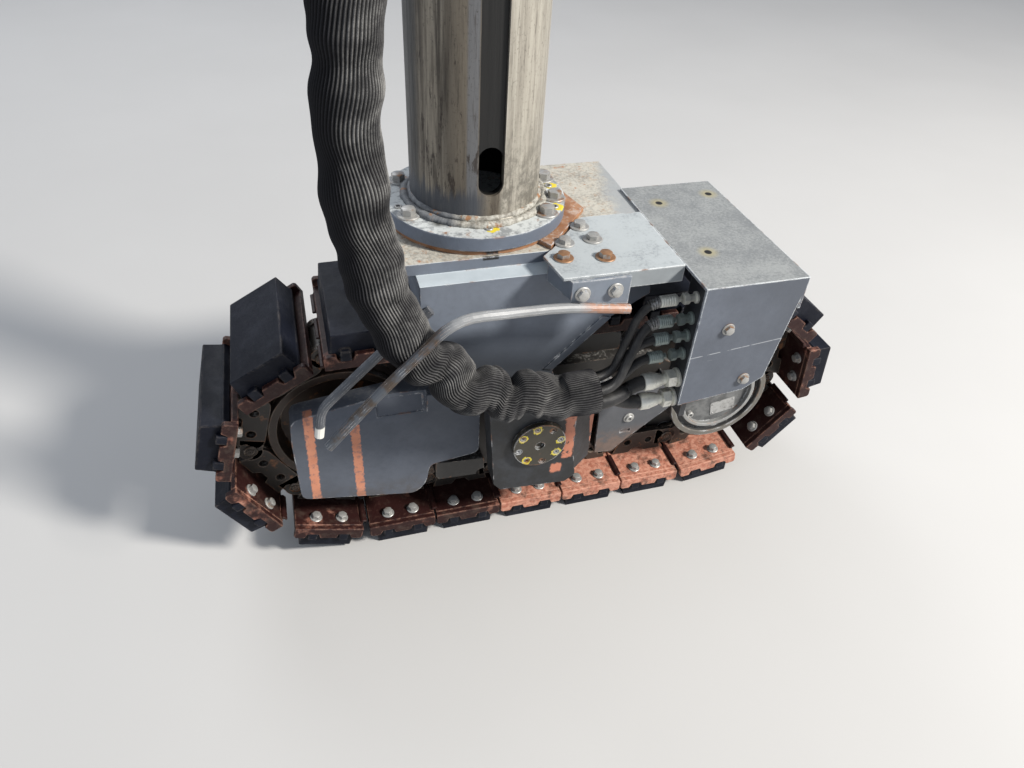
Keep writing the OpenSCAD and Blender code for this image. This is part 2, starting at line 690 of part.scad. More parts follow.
module rollers() {
    w = frame_half - frame_t - past;
    hole = roller_axle_r + 0.1;
    flange = roller_r + roller_flange_h;
    color("saddlebrown") on_ground()
        for (i = [0:rollers - 1])
            turned_y(roller_x0 + i * roller_step, roller_h, [
                [hole, -w], [roller_r - 12, -w], [roller_r - 10, -chain_half - 2],
                [roller_r, -chain_half - 2], [roller_r, -link_y + 4], [flange, -link_y + 8],
                [flange, -link_y + 16], [roller_r - 6, -link_y + 20],
                [roller_r - 6, link_y - 20], [flange, link_y - 16], [flange, link_y - 8],
                [roller_r, link_y - 4], [roller_r, chain_half + 2], [roller_r - 10, chain_half + 2],
                [roller_r - 12, w], [hole, w]]);
}
module roller_axles() {
    color("gray") on_ground()
        for (i = [0:rollers - 1])
            rod_y(roller_x0 + i * roller_step, roller_h, -frame_half - 6, frame_half + 6,
                roller_axle_r);
}

module sprocket() {
    w = link_y - 6;
    root = pin_r + 3;
    color("dimgray") on_ground() difference() {
        rod_y(sprocket_x, axle_h, -w, w, wrap_r + 8);
        for (i = [0:teeth - 1])
            translate([sprocket_x, 0, axle_h]) rotate([0, -sprocket_turn - i * 360 / teeth, 0]) {
                rod_y(0, -wrap_r, -w - past, w + past, root);
                plate_y([[-root, -wrap_r], [root, -wrap_r], [root + 9, -wrap_r - 20],
                    [-root - 9, -wrap_r - 20]], -w - past, w + past);
            }
        rod_y(sprocket_x, axle_h, -w - past, w + past, drive_hub_r);
        for (i = [0:teeth - 1])
            translate([sprocket_x, 0, axle_h])
                rotate([0, -sprocket_turn - (i + 0.5) * 360 / teeth, 0])
                rod_y(0, 20 - wrap_r / 2 - drive_hub_r, -w - past, w + past, 9);
    }
}

// Drive casing: ring and face on the near side, and the hub through the sprocket
face_set = 12;
module drive_casing() {
    color("dimgray") on_ground() difference() {
        union() {
            rod_y(sprocket_x, axle_h, -cover_y, -frame_half, casing_r);
            rod_y(sprocket_x, axle_h, -frame_half, frame_half, drive_hub_r);
        }
        rod_y(sprocket_x, axle_h, -cover_y - past, -cover_y + face_set, casing_r - casing_ring);
    }
    color("dimgray") on_ground() difference() {
        rod_y(sprocket_x, axle_h, -cover_y + 2, -cover_y + face_set, 84);
        rod_y(sprocket_x, axle_h, -cover_y, -cover_y + face_set + past, 76);
    }
}
// Planetary gearbox cover on the far side, in steps
module gearbox_cover() {
    cover_bolts = 10;
    bolt_circle = gearbox_r - 7;
    // Face of each step, from the frame out
    step_1 = frame_half + 18;
    step_3 = cover_y - cover_t;
    step_2 = step_3 - 8;
    color("dimgray") on_ground() {
        rod_y(sprocket_x, axle_h, frame_half, step_1, gearbox_r);
        rod_y(sprocket_x, axle_h, step_1, step_2, gearbox_r - 14);
        rod_y(sprocket_x, axle_h, step_2, step_3, gearbox_r - 30);
        for (i = [0:cover_bolts - 1])
            translate([sprocket_x + bolt_circle * cos(i * 360 / cover_bolts), step_1,
                axle_h + bolt_circle * sin(i * 360 / cover_bolts)])
                rotate([-90, 0, 0]) cylinder(r = 6, h = 7, $fn = 6);
    }
}

// Chain of link plates on pins, each link plate flat on the rollers and bolted to its shoe
module chain() {
    bite = link_in * tan(180 / teeth) + past;
    color("dimgray")
        for (i = [0:links - 1]) {
            a = pin_at(i);
            half = norm(pin_at(i + 1) - a) / 2;
            at_link(i) both_sides() plate_y([
                [-half + past, 0], [-half + bite, -link_in], [half - bite, -link_in],
                [half - past, 0], [half - 7, link_out], [16, link_out], [6, link_out - 14],
                [-6, link_out - 14], [-16, link_out], [-half + 7, link_out]],
                -chain_half, -link_y);
            on_ground() rod_y(a[0], a[1], -chain_half - 4, chain_half + 4, pin_r, $fn = 8);
        }
}

module shoes() {
    l = (pitch - shoe_gap) / 2;
    tip = link_out + shoe_lip;
    notch = tip - 11;
    color("maroon")
        for (i = [0:links - 1])
            at_link(i) {
                translate([-l, shoe_t - track_w / 2, link_out])
                    cube([2 * l, track_w - 2 * shoe_t, shoe_t]);
                both_sides() plate_y([
                    [-l, link_out], [-l, tip], [-46, tip], [-42, notch], [-20, notch], [-16, tip],
                    [16, tip], [20, notch], [42, notch], [46, tip], [l, tip], [l, link_out]],
                    -track_w / 2, -track_w / 2 + shoe_t);
            }
}

module pads() {
    l = (pitch - pad_gap) / 2;
    w = track_w / 2 - shoe_t;
    z0 = link_out + shoe_t;
    color("black")
        for (i = [0:links - 1])
            at_link(i)
                plate_y([[-l + 5, z0], [l - 5, z0], [l, z0 + 12], [l - 7, z0 + pad_t],
                    [-l + 7, z0 + pad_t], [-l, z0 + 12]], -w, w);
}

column();
flange();
flange_bolts();
shim_plate();
fork();
pivot_pin();
pivot_caps();
adapter_plate();
adapter_bolts();
guard_hood();
rod_bracket();
guard_rod_outer();
guard_rod_inner();
hose_panel();
hose_fittings();
hoses();
hose_sleeve();
hose_coupling();
track_frame();
side_cover_near();
side_cover_far();
drive_guard_near();
drive_guard_far();
idler();
idler_axle();
rollers();
roller_axles();
sprocket();
drive_casing();
gearbox_cover();
chain();
shoes();
pads();
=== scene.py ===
import math
import random

import bmesh
import bpy
from mathutils import Matrix, Vector
from mathutils.geometry import tessellate_polygon


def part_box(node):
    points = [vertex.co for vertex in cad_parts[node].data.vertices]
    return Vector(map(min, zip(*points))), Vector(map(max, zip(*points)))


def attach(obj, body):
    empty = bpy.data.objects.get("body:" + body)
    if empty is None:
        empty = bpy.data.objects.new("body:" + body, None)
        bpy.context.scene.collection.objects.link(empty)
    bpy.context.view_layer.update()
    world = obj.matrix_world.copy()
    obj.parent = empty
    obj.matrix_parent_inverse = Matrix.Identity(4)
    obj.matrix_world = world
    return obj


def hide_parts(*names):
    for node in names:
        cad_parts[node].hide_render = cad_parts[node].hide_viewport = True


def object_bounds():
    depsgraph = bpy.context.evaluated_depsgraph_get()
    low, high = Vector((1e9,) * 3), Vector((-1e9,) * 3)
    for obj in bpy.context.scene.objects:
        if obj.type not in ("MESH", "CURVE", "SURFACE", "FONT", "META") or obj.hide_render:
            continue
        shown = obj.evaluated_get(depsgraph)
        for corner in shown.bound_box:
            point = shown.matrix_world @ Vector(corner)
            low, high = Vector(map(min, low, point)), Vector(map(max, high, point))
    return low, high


# Crawler track unit of a cold planer, with the lower end of the lifting column that stands on it.
# Most nodes of the CAD model keep their shape and get a finish here, and modelled pieces stand for the rest.
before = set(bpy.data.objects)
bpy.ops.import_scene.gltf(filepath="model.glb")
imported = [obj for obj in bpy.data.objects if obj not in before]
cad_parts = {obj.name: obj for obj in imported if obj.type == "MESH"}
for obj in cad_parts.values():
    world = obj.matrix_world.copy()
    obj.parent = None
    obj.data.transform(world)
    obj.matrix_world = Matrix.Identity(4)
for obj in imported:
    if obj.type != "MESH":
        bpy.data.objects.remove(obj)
cad_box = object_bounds()
ground = cad_box[0].z


# Camera: 1.29 m above the ground, in front of the left end of the track, looking down on it. The studio has
# a plain pale floor, a soft light from the upper right, and weaker ones from the left and from behind.
camera_place = Vector((-0.2824, -1.1220, 0.0877))
look = Vector((0.2391, 0.7233, -0.6478)).normalized()
picture_up = Vector((0.1426, 0.6338, 0.7603))
# Width of the picture and focal length, both in its pixels, and width of the camera's sensor
picture_px, focal_px, sensor_mm = 1024, 740.7, 36.0
camera = bpy.data.objects.new("camera", bpy.data.cameras.new("camera"))
bpy.context.scene.collection.objects.link(camera)
side = look.cross(picture_up).normalized()
camera.matrix_world = Matrix.Translation(camera_place) @ Matrix(
    (side, side.cross(look), -look)
).transposed().to_4x4()
camera.data.sensor_width = sensor_mm
camera.data.lens = sensor_mm * focal_px / picture_px
camera.data.clip_start = 0.05
bpy.context.scene.camera = camera


def soft_light(name, place, aim, size, watts, colour):
    lamp = bpy.data.lights.new(name, "AREA")
    lamp.shape = "DISK"
    lamp.size = size
    lamp.energy = watts
    lamp.color = colour
    o = bpy.data.objects.new(name, lamp)
    bpy.context.scene.collection.objects.link(o)
    o.location = place
    o.rotation_mode = "QUATERNION"
    o.rotation_quaternion = (Vector(aim) - Vector(place)).to_track_quat("-Z", "Y")


middle = (cad_box[0] + cad_box[1]) / 2
soft_light("key_light", (4.4, -3.4, 3.7), middle, 1.1, 900, (1.0, 0.96, 0.90))
soft_light("fill_light", (-3.6, -2.4, 2.4), middle, 3.5, 40, (0.86, 0.93, 1.0))
soft_light("back_light", (-1.6, 4.6, 3.0), middle, 3.2, 110, (0.95, 0.97, 1.0))
world = bpy.data.worlds.new("studio")
world.use_nodes = True
sky = world.node_tree.nodes["Background"]
sky.inputs["Color"].default_value = (0.80, 0.87, 1.0, 1)
sky.inputs["Strength"].default_value = 0.50
bpy.context.scene.world = world
bpy.context.scene.view_settings.view_transform = "Standard"


class Finish:
    """A procedural finish: a material, its shader and short ways to add nodes to it.
    A mask is a value at each point of the surface, mostly from 0 to 1."""

    def __init__(self, name):
        self.material = bpy.data.materials.new(name)
        self.material.use_nodes = True
        self.tree = self.material.node_tree
        self.shader = self.tree.nodes["Principled BSDF"]
        where = self.add("TexCoord")
        self.place, self.facing = where.outputs["Object"], where.outputs["Normal"]
        self.xyz = dict(zip("xyz", self.add("SeparateXYZ", Vector=self.place).outputs))

    def add(self, kind, **inputs):
        """Adds a node. A name with a capital is one of its inputs, and any other one of its settings"""
        node = self.tree.nodes.new("ShaderNode" + kind)
        for key, value in inputs.items():
            if key[0].islower():
                setattr(node, key, value)
            else:
                self.put(node.inputs[key.replace("_", " ")], value)
        return node

    def put(self, socket, value):
        if isinstance(value, bpy.types.NodeSocket):
            self.tree.links.new(value, socket)
        elif isinstance(value, tuple) and len(value) == 3 and socket.type == "RGBA":
            socket.default_value = (*value, 1)
        else:
            socket.default_value = value

    def set(self, **inputs):
        for key, value in inputs.items():
            self.put(self.shader.inputs[key.replace("_", " ")], value)

    def stretched(self, x, y, z, turn=(0, 0, 0)):
        """The place on the piece, with each axis drawn out or pressed together"""
        return self.add("Mapping", Vector=self.place, Scale=(x, y, z), Rotation=turn).outputs[0]

    def grain(self, scale, detail, rough=0.55, place=None):
        """Cloudy noise from 0 to 1, with patches about 1/scale metres across"""
        return self.add("TexNoise", Vector=place or self.place, Scale=scale, Detail=detail,
                        Roughness=rough).outputs["Fac"]

    def step(self, value, low, high):
        """0 below low, 1 above high, smooth between them; the other way round if low is above high"""
        return self.add("MapRange", interpolation_type="SMOOTHSTEP", Value=value,
                        From_Min=low, From_Max=high).outputs[0]

    def math(self, how, a, b):
        node = self.add("Math", operation=how)
        self.put(node.inputs[0], a)
        self.put(node.inputs[1], b)
        return node.outputs[0]

    def added(self, *parts):
        """The sum of masks and numbers"""
        result = parts[0]
        for part in parts[1:]:
            result = self.math("ADD", result, part)
        return result

    def both(self, *masks):
        """The product of masks and numbers"""
        result = masks[0]
        for mask in masks[1:]:
            result = self.math("MULTIPLY", result, mask)
        return result

    def either(self, a, b):
        """1 where one of two masks is 1"""
        return self.math("MAXIMUM", a, b)

    def scaled(self, mask, low, high):
        """A mask that goes from low to high instead of from 0 to 1"""
        return self.added(self.both(mask, high - low), low)

    def torn(self, noise, size):
        """Noise as a shift to and fro, which frays the edge of a mark"""
        return self.both(self.math("SUBTRACT", noise, 0.5), size)

    def speckled(self, coarse, fine, coarse_share=0.5):
        """Coarse clouds with fine specks in them"""
        return self.added(self.both(self.grain(*coarse), coarse_share),
                          self.both(self.grain(*fine), 1 - coarse_share))

    def mix(self, share, a, b):
        """Colour a where share is 0, and b where it is 1"""
        node = self.add("Mix", data_type="RGBA")
        for socket, value in ((node.inputs[0], share), (node.inputs[6], a), (node.inputs[7], b)):
            self.put(socket, value)
        return node.outputs[2]

    def upward(self, low=0.55, high=0.95):
        """1 on a face that looks up, 0 on a wall"""
        return self.step(self.add("SeparateXYZ", Vector=self.facing).outputs["Z"], low, high)

    def top_at(self, height, low=0.0015, high=0.0008):
        """1 on a top face at a height, and down to 0 between high and low below it"""
        return self.both(self.upward(), self.step(self.xyz["z"], height - low, height - high))

    def between(self, axis, low, high, blur=0.0015, waver=None):
        """1 where the place along an axis is from low to high; waver is added to that place"""
        value = self.xyz[axis] if waver is None else self.added(self.xyz[axis], waver)
        past_low = self.step(value, low - blur, low + blur)
        return self.both(past_low, self.step(value, high + blur, high - blur))

    def from_middle(self, axis):
        """Distance from the origin along an axis, to either side"""
        return self.math("ABSOLUTE", self.xyz[axis], 0.0)

    def away(self, point, place=None):
        """Distance from a point"""
        node = self.add("VectorMath", operation="DISTANCE")
        self.put(node.inputs[0], place or self.place)
        self.put(node.inputs[1], point)
        return node.outputs["Value"]

    def spot(self, centre, radius, blur):
        """1 within a radius of a point"""
        return self.step(self.away(centre), radius * (1 + blur), radius * (1 - blur))

    def edges(self, radius):
        """1 along an outer or inner edge, 0 on a flat face"""
        node = self.add("VectorMath", operation="DOT_PRODUCT")
        self.put(node.inputs[0], self.add("NewGeometry").outputs["Normal"])
        self.put(node.inputs[1], self.add("Bevel", samples=4, Radius=radius).outputs["Normal"])
        return self.step(node.outputs["Value"], 0.992, 0.960)

    def bump(self, height, distance):
        self.set(Normal=self.add("Bump", Height=height, Distance=distance).outputs["Normal"])


floor_size = 14.0


def floor_finish():
    f = Finish("studio_floor")
    tone = f.grain(1.5, 3)
    f.set(Base_Color=f.mix(tone, (0.43, 0.425, 0.415), (0.47, 0.465, 0.455)), Roughness=0.85)
    return f.material


floor_mesh = bpy.data.meshes.new("floor")
half_floor = floor_size / 2
floor_mesh.from_pydata(
    [(x, y, ground) for x, y in ((-half_floor, -half_floor), (half_floor, -half_floor),
                                 (half_floor, half_floor), (-half_floor, half_floor))],
    [], [(0, 1, 2, 3)])
floor_mesh.materials.append(floor_finish())
floor = bpy.data.objects.new("floor", floor_mesh)
bpy.context.scene.collection.objects.link(floor)


# Woven sleeve: a tube of ribbed black webbing that holds the six hoses together. It comes down
# from the coupling beside the column, is kicked sideways by the guard rods and lies crumpled there.
def smooth_line(points, step):
    """A smooth curve through the points, as points about one step apart"""
    p = [Vector(q) for q in points]
    p = [2 * p[0] - p[1], *p, 2 * p[-1] - p[-2]]
    fine = []
    for a, b, c, d in zip(p, p[1:], p[2:], p[3:]):
        for k in range(24):
            t = k / 24
            fine.append(0.5 * (2 * b + (c - a) * t + (2 * a - 5 * b + 4 * c - d) * t ** 2
                               + (3 * b - a - 3 * c + d) * t ** 3))
    fine.append(p[-2])
    length = sum((b - a).length for a, b in zip(fine, fine[1:]))
    count = max(2, round(length / step))
    line, walked, i = [fine[0]], 0.0, 0
    for k in range(1, count):
        target = length * k / count
        while walked + (fine[i + 1] - fine[i]).length < target:
            walked += (fine[i + 1] - fine[i]).length
            i += 1
        share = (target - walked) / (fine[i + 1] - fine[i]).length
        line.append(fine[i].lerp(fine[i + 1], share))
    return [*line, fine[-1]]


def line_length(line):
    return sum((b - a).length for a, b in zip(line, line[1:]))


def frames_along(line):
    """At each point of the line: its direction and two directions across it, without twist"""
    across = Vector((0, 1, 0))
    for i in range(len(line)):
        along = (line[min(i + 1, len(line) - 1)] - line[max(i - 1, 0)]).normalized()
        across = (across - along * across.dot(along)).normalized()
        yield along, across, along.cross(across)


def band(first, second, n):
    """Faces between two rings of n points, given the number of each ring's first point"""
    return [(first + k, first + (k + 1) % n, second + (k + 1) % n, second + k) for k in range(n)]


def piece(name, solid, body, finish, stands_for=(), rounding=0.0, smooth_to=35):
    """A mesh, in metres and in the frame of the CAD model, that rides on one of its bodies"""
    mesh = bpy.data.meshes.new(name)
    mesh.from_pydata([tuple(p) for p in solid[0]], [], [tuple(f) for f in solid[1]])
    rebuilt = bmesh.new()
    rebuilt.from_mesh(mesh)
    bmesh.ops.recalc_face_normals(rebuilt, faces=rebuilt.faces)
    rebuilt.to_mesh(mesh)
    rebuilt.free()
    mesh.materials.append(finish)
    mesh.shade_smooth()
    o = bpy.data.objects.new(name, mesh)
    bpy.context.scene.collection.objects.link(o)
    if rounding:
        soften(o, rounding)
    else:
        mesh.set_sharp_from_angle(angle=math.radians(smooth_to))
    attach(o, body)
    if stands_for:
        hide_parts(*stands_for)
    return o


def soften(o, radius):
    """Rounds the edges of a piece, as a press, a cutter or a paint film leaves them"""
    edge = o.modifiers.new("rounded_edges", "BEVEL")
    edge.width = radius
    edge.segments = 2
    edge.limit_method = "ANGLE"
    edge.angle_limit = math.radians(32)
    edge.harden_normals = True


def keep_values(o, name, values):
    """Gives each corner of a piece a value that its finish reads"""
    o.data.attributes.new(name, "FLOAT", "POINT").data.foreach_set("value", values)


sleeve_d = 0.076
sleeve_route = [
    (-0.208, -0.262, -0.100), (-0.208, -0.262, -0.140), (-0.215, -0.258, -0.210), (-0.218, -0.254, -0.280),
    (-0.214, -0.249, -0.360), (-0.204, -0.244, -0.439), (-0.190, -0.242, -0.505), (-0.169, -0.242, -0.563),
    (-0.142, -0.242, -0.610), (-0.111, -0.242, -0.649), (-0.077, -0.242, -0.682), (-0.037, -0.242, -0.709),
    (0.010, -0.242, -0.726), (0.060, -0.242, -0.736), (0.110, -0.242, -0.744), (0.158, -0.242, -0.744)]
sleeve_line = smooth_line(sleeve_route, 0.0036)
sleeve_long = line_length(sleeve_line)
# Pitch of the ribs round the sleeve, and its width over them
rib_pitch, over_ribs_d = 0.0046, 0.082
rib_count = round(math.pi * over_ribs_d / rib_pitch)
# Four points round the sleeve for each rib: its crest, its two flanks and the groove between ribs
rib_shape = (1.0, 0.15, -1.0, 0.15)
rib_depth = 0.0011
sleeve_sides = rib_count * len(rib_shape)
# Where it is crumpled, as distances back from the mouth, and the size of a fold there
crumpled_from, crumpled_to = 0.315, 0.075
fold_long, fold_deep, fold_shift = 0.088, 0.0150, 0.0078
# Radius of the cloth, and half the width and height of its mouth
sleeve_r, mouth_half_w, mouth_half_h = 0.0405, 0.0400, 0.0362
# Dust has settled on the side that looks up and to the drive's end of the track. That side faces the key
# light and is also lightened as painted light.
dust_and_light_side = Vector((0.80, -0.45, 0.40))


def eased(value, low, high):
    """0 below low, 1 above high, smooth between them"""
    t = min(1.0, max(0.0, (value - low) / (high - low)))
    return t * t * (3 - 2 * t)


def crumpled(back):
    """How far the sleeve is crumpled at a distance back from its mouth"""
    fades_above = 1 - eased(back, crumpled_from, crumpled_from + 0.05)
    return eased(back, crumpled_to - 0.03, crumpled_to) * fades_above


def zigzag(phase):
    """A wave with straight flanks, from -1 to 1"""
    return 2 / math.pi * math.asin(0.97 * math.sin(phase))


def fold_phase(back):
    """Counts the folds; they are unequal, and farther apart higher up"""
    return 2 * math.pi * back / fold_long + 0.7 * math.sin(2 * math.pi * back / 0.193 + 0.8)


def pleat(phase):
    """1 at the bottom of a sharp fold, 0 away from it"""
    return max(0.0, 1 - abs(math.sin(phase / 2)) / 0.60) ** 1.15


def sleeve_wall(s, turn):
    """Distance of the cloth from the middle line at a length s and an angle, without its ribs"""
    back = sleeve_long - s
    narrow = 1 - eased(back, 0.05, 0.30)
    half_w = sleeve_r + (mouth_half_w - sleeve_r) * narrow
    half_h = sleeve_r + (mouth_half_h - sleeve_r) * narrow
    wall = 1 / math.hypot(math.cos(turn) / half_w, math.sin(turn) / half_h)
    # Where it hangs freely the cloth is wavy
    hanging = 0.0023 * math.sin(s / 0.017 + 1.0 * math.sin(turn + 0.5) + 1.2 * math.sin(s / 0.09))
    hanging += 0.0011 * math.sin(s / 0.0085 - 1.2 * math.cos(turn) + 1.6 * math.sin(s / 0.06))
    hanging += 0.0014 * math.sin(2 * turn + s / 0.07)
    # Where it is crumpled it has deep pleats, by turns above and below, and shallow creases across them
    phase = fold_phase(back) + 0.9 * math.cos(turn) + 0.35 * math.sin(3 * turn + 13 * back)
    up = (1 + math.sin(turn)) / 2
    upper_pleat = pleat(phase + math.pi / 2) * up ** 1.2
    lower_pleat = pleat(phase - math.pi / 2) * (1 - up) ** 1.2
    pleats = fold_deep * (upper_pleat + lower_pleat)
    creases = 0.0050 * pleat(phase * 1.7 - 2.1 * math.cos(turn) + 1.0)
    crush = crumpled(back)
    return wall + (1 - crush) * hanging * eased(back, 0.01, 0.06) - crush * (pleats + creases - 0.0024)


def make_sleeve():
    points, rib_values, dust_and_light_values = [], [], []
    last = len(sleeve_line) - 1
    for i, (along, a, b) in enumerate(frames_along(sleeve_line)):
        s = sleeve_long * i / last
        back = sleeve_long - s
        # The ribs lie along the sleeve; they lean to and fro with the folds
        lean = 0.34 * math.sin(s / 0.085) + 0.06 * math.sin(s / 0.019)
        lean += 0.20 * crumpled(back) * zigzag(fold_phase(back) + 1.0)
        centre = sleeve_line[i] + crumpled(back) * fold_shift * zigzag(fold_phase(back)) * b
        for k in range(sleeve_sides):
            turn = 2 * math.pi * k / sleeve_sides + lean
            rib = rib_shape[k % len(rib_shape)]
            r = sleeve_wall(s, turn) + rib_depth * rib
            out = math.cos(turn) * a + math.sin(turn) * b
            points.append(centre + r * out)
            rib_values.append(0.5 + 0.5 * rib)
            # Pale dust and painted light: more on the side toward the key light and where the sleeve is
            # crumpled
            dust_and_light_values.append(eased(out.dot(dust_and_light_side) + 0.60 * crumpled(back), -0.10, 0.62))
    faces = [face for i in range(last)
             for face in band(i * sleeve_sides, (i + 1) * sleeve_sides, sleeve_sides)]
    # The mouth is hemmed: the cloth turns in and goes back over the hoses
    rim = points[-sleeve_sides:]
    centre, base = sleeve_line[-1], last * sleeve_sides
    for share, depth in ((0.985, -0.0015), (0.93, 0.0), (0.90, 0.055)):
        start = len(points)
        points += [centre + (p - centre) * share - Vector((depth, 0, 0)) for p in rim]
        rib_values += [0.2] * sleeve_sides
        dust_and_light_values += [0.5] * sleeve_sides
        faces += band(base, start, sleeve_sides)
        base = start
    o = piece("woven_sleeve", (points, faces), "leg", woven_sleeve_finish(),
              ["hose_sleeve"], smooth_to=70)
    keep_values(o, "rib", rib_values)
    keep_values(o, "dust_and_light", dust_and_light_values)
    return o


def woven_sleeve_finish():
    f = Finish("woven_sleeve_finish")
    crest = f.step(f.add("Attribute", attribute_name="rib").outputs["Fac"], 0.30, 1.0)
    dust_and_light = f.add("Attribute", attribute_name="dust_and_light").outputs["Fac"]
    threads = f.grain(1, 3, 0.6, f.stretched(700, 700, 1400))
    dust = f.grain(38, 5, 0.65)
    # Bands across the sleeve that are lightened as painted sheen
    sheen_bands = f.grain(1, 3, 0.5, f.stretched(6, 6, 26))
    # The grooves between ribs are darker than the crests, as painted shade
    cloth = f.mix(crest, (0.0060, 0.0060, 0.0070), (0.019, 0.019, 0.022))
    # Share of pale dust and painted light, on the rib crests, on the lit side and in the sheen bands
    share = f.both(f.scaled(crest, 0.15, 1.0), dust_and_light, f.scaled(f.step(dust, 0.34, 0.64), 0.25, 0.85),
                   f.scaled(f.step(sheen_bands, 0.36, 0.62), 0.35, 1.10))
    cloth = f.mix(share, cloth, (0.265, 0.260, 0.249))
    colour = f.mix(f.both(f.step(threads, 0.45, 0.62), 0.4), cloth, (0.012, 0.012, 0.014))
    f.set(Base_Color=colour, Roughness=0.74, Specular_IOR_Level=0.14)
    f.bump(f.added(threads, f.both(dust, 0.4)), 0.0005)
    return f.material


woven_sleeve = make_sleeve()


# Coupling: a zinc-plated steel collar that clamps the upper end of the sleeve and closes the bundle.
# It is turned from bar, with a groove between two bands and chamfered ends.
def zinc_finish(name, rust, tone, tint=(1.0, 0.99, 0.95), dirt=0.3):
    """Zinc plating gone dull, with rust and dirt from 0 to 1. The attribute rusted turns a head to rust"""
    f = Finish(name)
    rusted = f.add("Attribute", attribute_name="rusted").outputs["Fac"]
    fine = f.grain(160, 6, 0.6)
    light = tuple(tone * c for c in tint)
    zinc = f.mix(fine, tuple(0.62 * c for c in light), light)
    grimy = f.both(f.step(f.grain(70, 5, 0.7), 0.62 - 0.3 * dirt, 0.75), dirt * 1.6)
    zinc = f.mix(grimy, zinc, (0.075, 0.070, 0.060))
    stain = f.step(f.added(f.grain(42, 5, 0.6), f.both(rusted, f.scaled(f.upward(), 0.10, 0.45))),
                   0.66 - rust * 0.35, 0.80 - rust * 0.2)
    colour = f.mix(stain, zinc, f.mix(f.grain(90, 4), (0.13, 0.062, 0.034), (0.42, 0.235, 0.12)))
    f.set(Base_Color=colour, Metallic=0.45, Roughness=f.scaled(fine, 0.30, 0.55))
    f.bump(fine, 0.0004)
    return f.material


def turned(profile, centre, axis, steps=64):
    """A body turned on Z or Y: profile is a closed list of (radius, place along the axis)"""
    points, faces = [], []
    n = len(profile)
    for k in range(steps):
        c, s = math.cos(2 * math.pi * k / steps), math.sin(2 * math.pi * k / steps)
        for r, h in profile:
            at = (r * c, r * s, h) if axis == "z" else (r * c, h, r * s)
            points.append(Vector(centre) + Vector(at))
    for k in range(steps):
        faces += band(k * n, (k + 1) % steps * n, n)
    return points, faces


coupling_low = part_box("hose_coupling")[0].z
coupling_r = sleeve_d / 2
zinc_fitting = zinc_finish("zinc_fitting_finish", rust=0.12, tone=0.66)
coupling = piece("sleeve_coupling", turned(
    [(0.020, 0.0), (coupling_r - 0.003, 0.0), (coupling_r, 0.003), (coupling_r, 0.012),
     (coupling_r - 0.004, 0.015), (coupling_r - 0.004, 0.019), (coupling_r, 0.022),
     (coupling_r, 0.037), (coupling_r - 0.003, 0.040), (0.024, 0.040), (0.024, 0.034), (0.020, 0.034)],
    (sleeve_route[0][0], sleeve_route[0][1], coupling_low), "z"),
    "leg", zinc_fitting, ["hose_coupling"], smooth_to=25)


# Hoses: six high-pressure hoses of black rubber on wire, which leave the mouth of the sleeve and
# fan out to a column of fittings under the hood. The two lowest are thicker, and the two highest
# are wound with a spiral guard where they meet their fittings.

# From the top down: height and radius of each hose at its fitting, and its place in the mouth, across and up
hose_rows = [(-0.581, 0.007), (-0.623, 0.008), (-0.659, 0.008), (-0.698, 0.008),
             (-0.753, 0.013), (-0.799, 0.013)]
mouth_places = [(0.005, 0.024), (-0.019, 0.014), (0.024, 0.010), (-0.001, 0.005),
                (-0.019, -0.011), (0.010, -0.018)]
# Reach of the bend after the mouth, and of the bend before the fitting
hose_out = (0.028, 0.028, 0.034, 0.036, 0.034, 0.026)
hose_in = (0.038, 0.027, 0.028, 0.028, 0.028, 0.038)
fitting_x, fitting_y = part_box("hose_fittings")[0].x, -0.230
# How far each hose goes back into the sleeve and on into its fitting
hose_tail, hose_grip = 0.045, 0.012


def bent(points, reaches):
    """A route whose inner corners are rounded, each over its own reach to both sides"""
    line, steps = [points[0]], 9
    for before, corner, after, reach in zip(points, points[1:], points[2:], reaches):
        a = corner + (before - corner).normalized() * reach
        c = corner + (after - corner).normalized() * reach
        for k in range(steps):
            t = k / (steps - 1)
            line.append((1 - t) ** 2 * a + 2 * t * (1 - t) * corner + t * t * c)
    return [*line, points[-1]]


def hose_finish():
    f = Finish("hose_rubber_finish")
    dust = f.grain(45, 6, 0.6)
    wear_and_light = f.grain(9, 3)
    colour = f.mix(f.step(dust, 0.38, 0.72), (0.010, 0.010, 0.011), (0.034, 0.033, 0.032))
    # Lighter in patches on top, as worn rubber and as painted light
    colour = f.mix(f.both(f.upward(), f.step(wear_and_light, 0.3, 0.7)), colour, (0.085, 0.081, 0.075))
    f.set(Base_Color=colour, Roughness=0.50)
    f.bump(f.add("TexWave", Vector=f.place, Scale=160.0, Distortion=1.5, Detail=2.0).outputs["Fac"], 0.0003)
    return f.material


hose_rubber = hose_finish()
hose_lines = []
hose_routes = zip(hose_rows, mouth_places, hose_out, hose_in)
for row, ((height, radius), (y, z), out, back) in enumerate(hose_routes, 1):
    mouth = Vector(sleeve_route[-1]) + Vector((0, y, z))
    fitting = Vector((fitting_x, fitting_y, height))
    along = Vector((1, 0, 0))
    line = smooth_line(bent([mouth - hose_tail * along, mouth + out * along, fitting - back * along,
                             fitting + hose_grip * along], (out, back)), 0.005)
    curve = bpy.data.curves.new(f"hose_{row}", "CURVE")
    curve.dimensions = "3D"
    curve.bevel_depth = radius
    curve.bevel_resolution = 6
    curve.use_fill_caps = True
    spline = curve.splines.new("POLY")
    spline.points.add(len(line) - 1)
    for point, place in zip(spline.points, line):
        point.co = (*place, 1)
    spline.use_smooth = True
    curve.materials.append(hose_rubber)
    hose = bpy.data.objects.new(f"hose_{row}", curve)
    bpy.context.scene.collection.objects.link(hose)
    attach(hose, "leg")
    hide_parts("hoses")
    hose_lines.append(line)


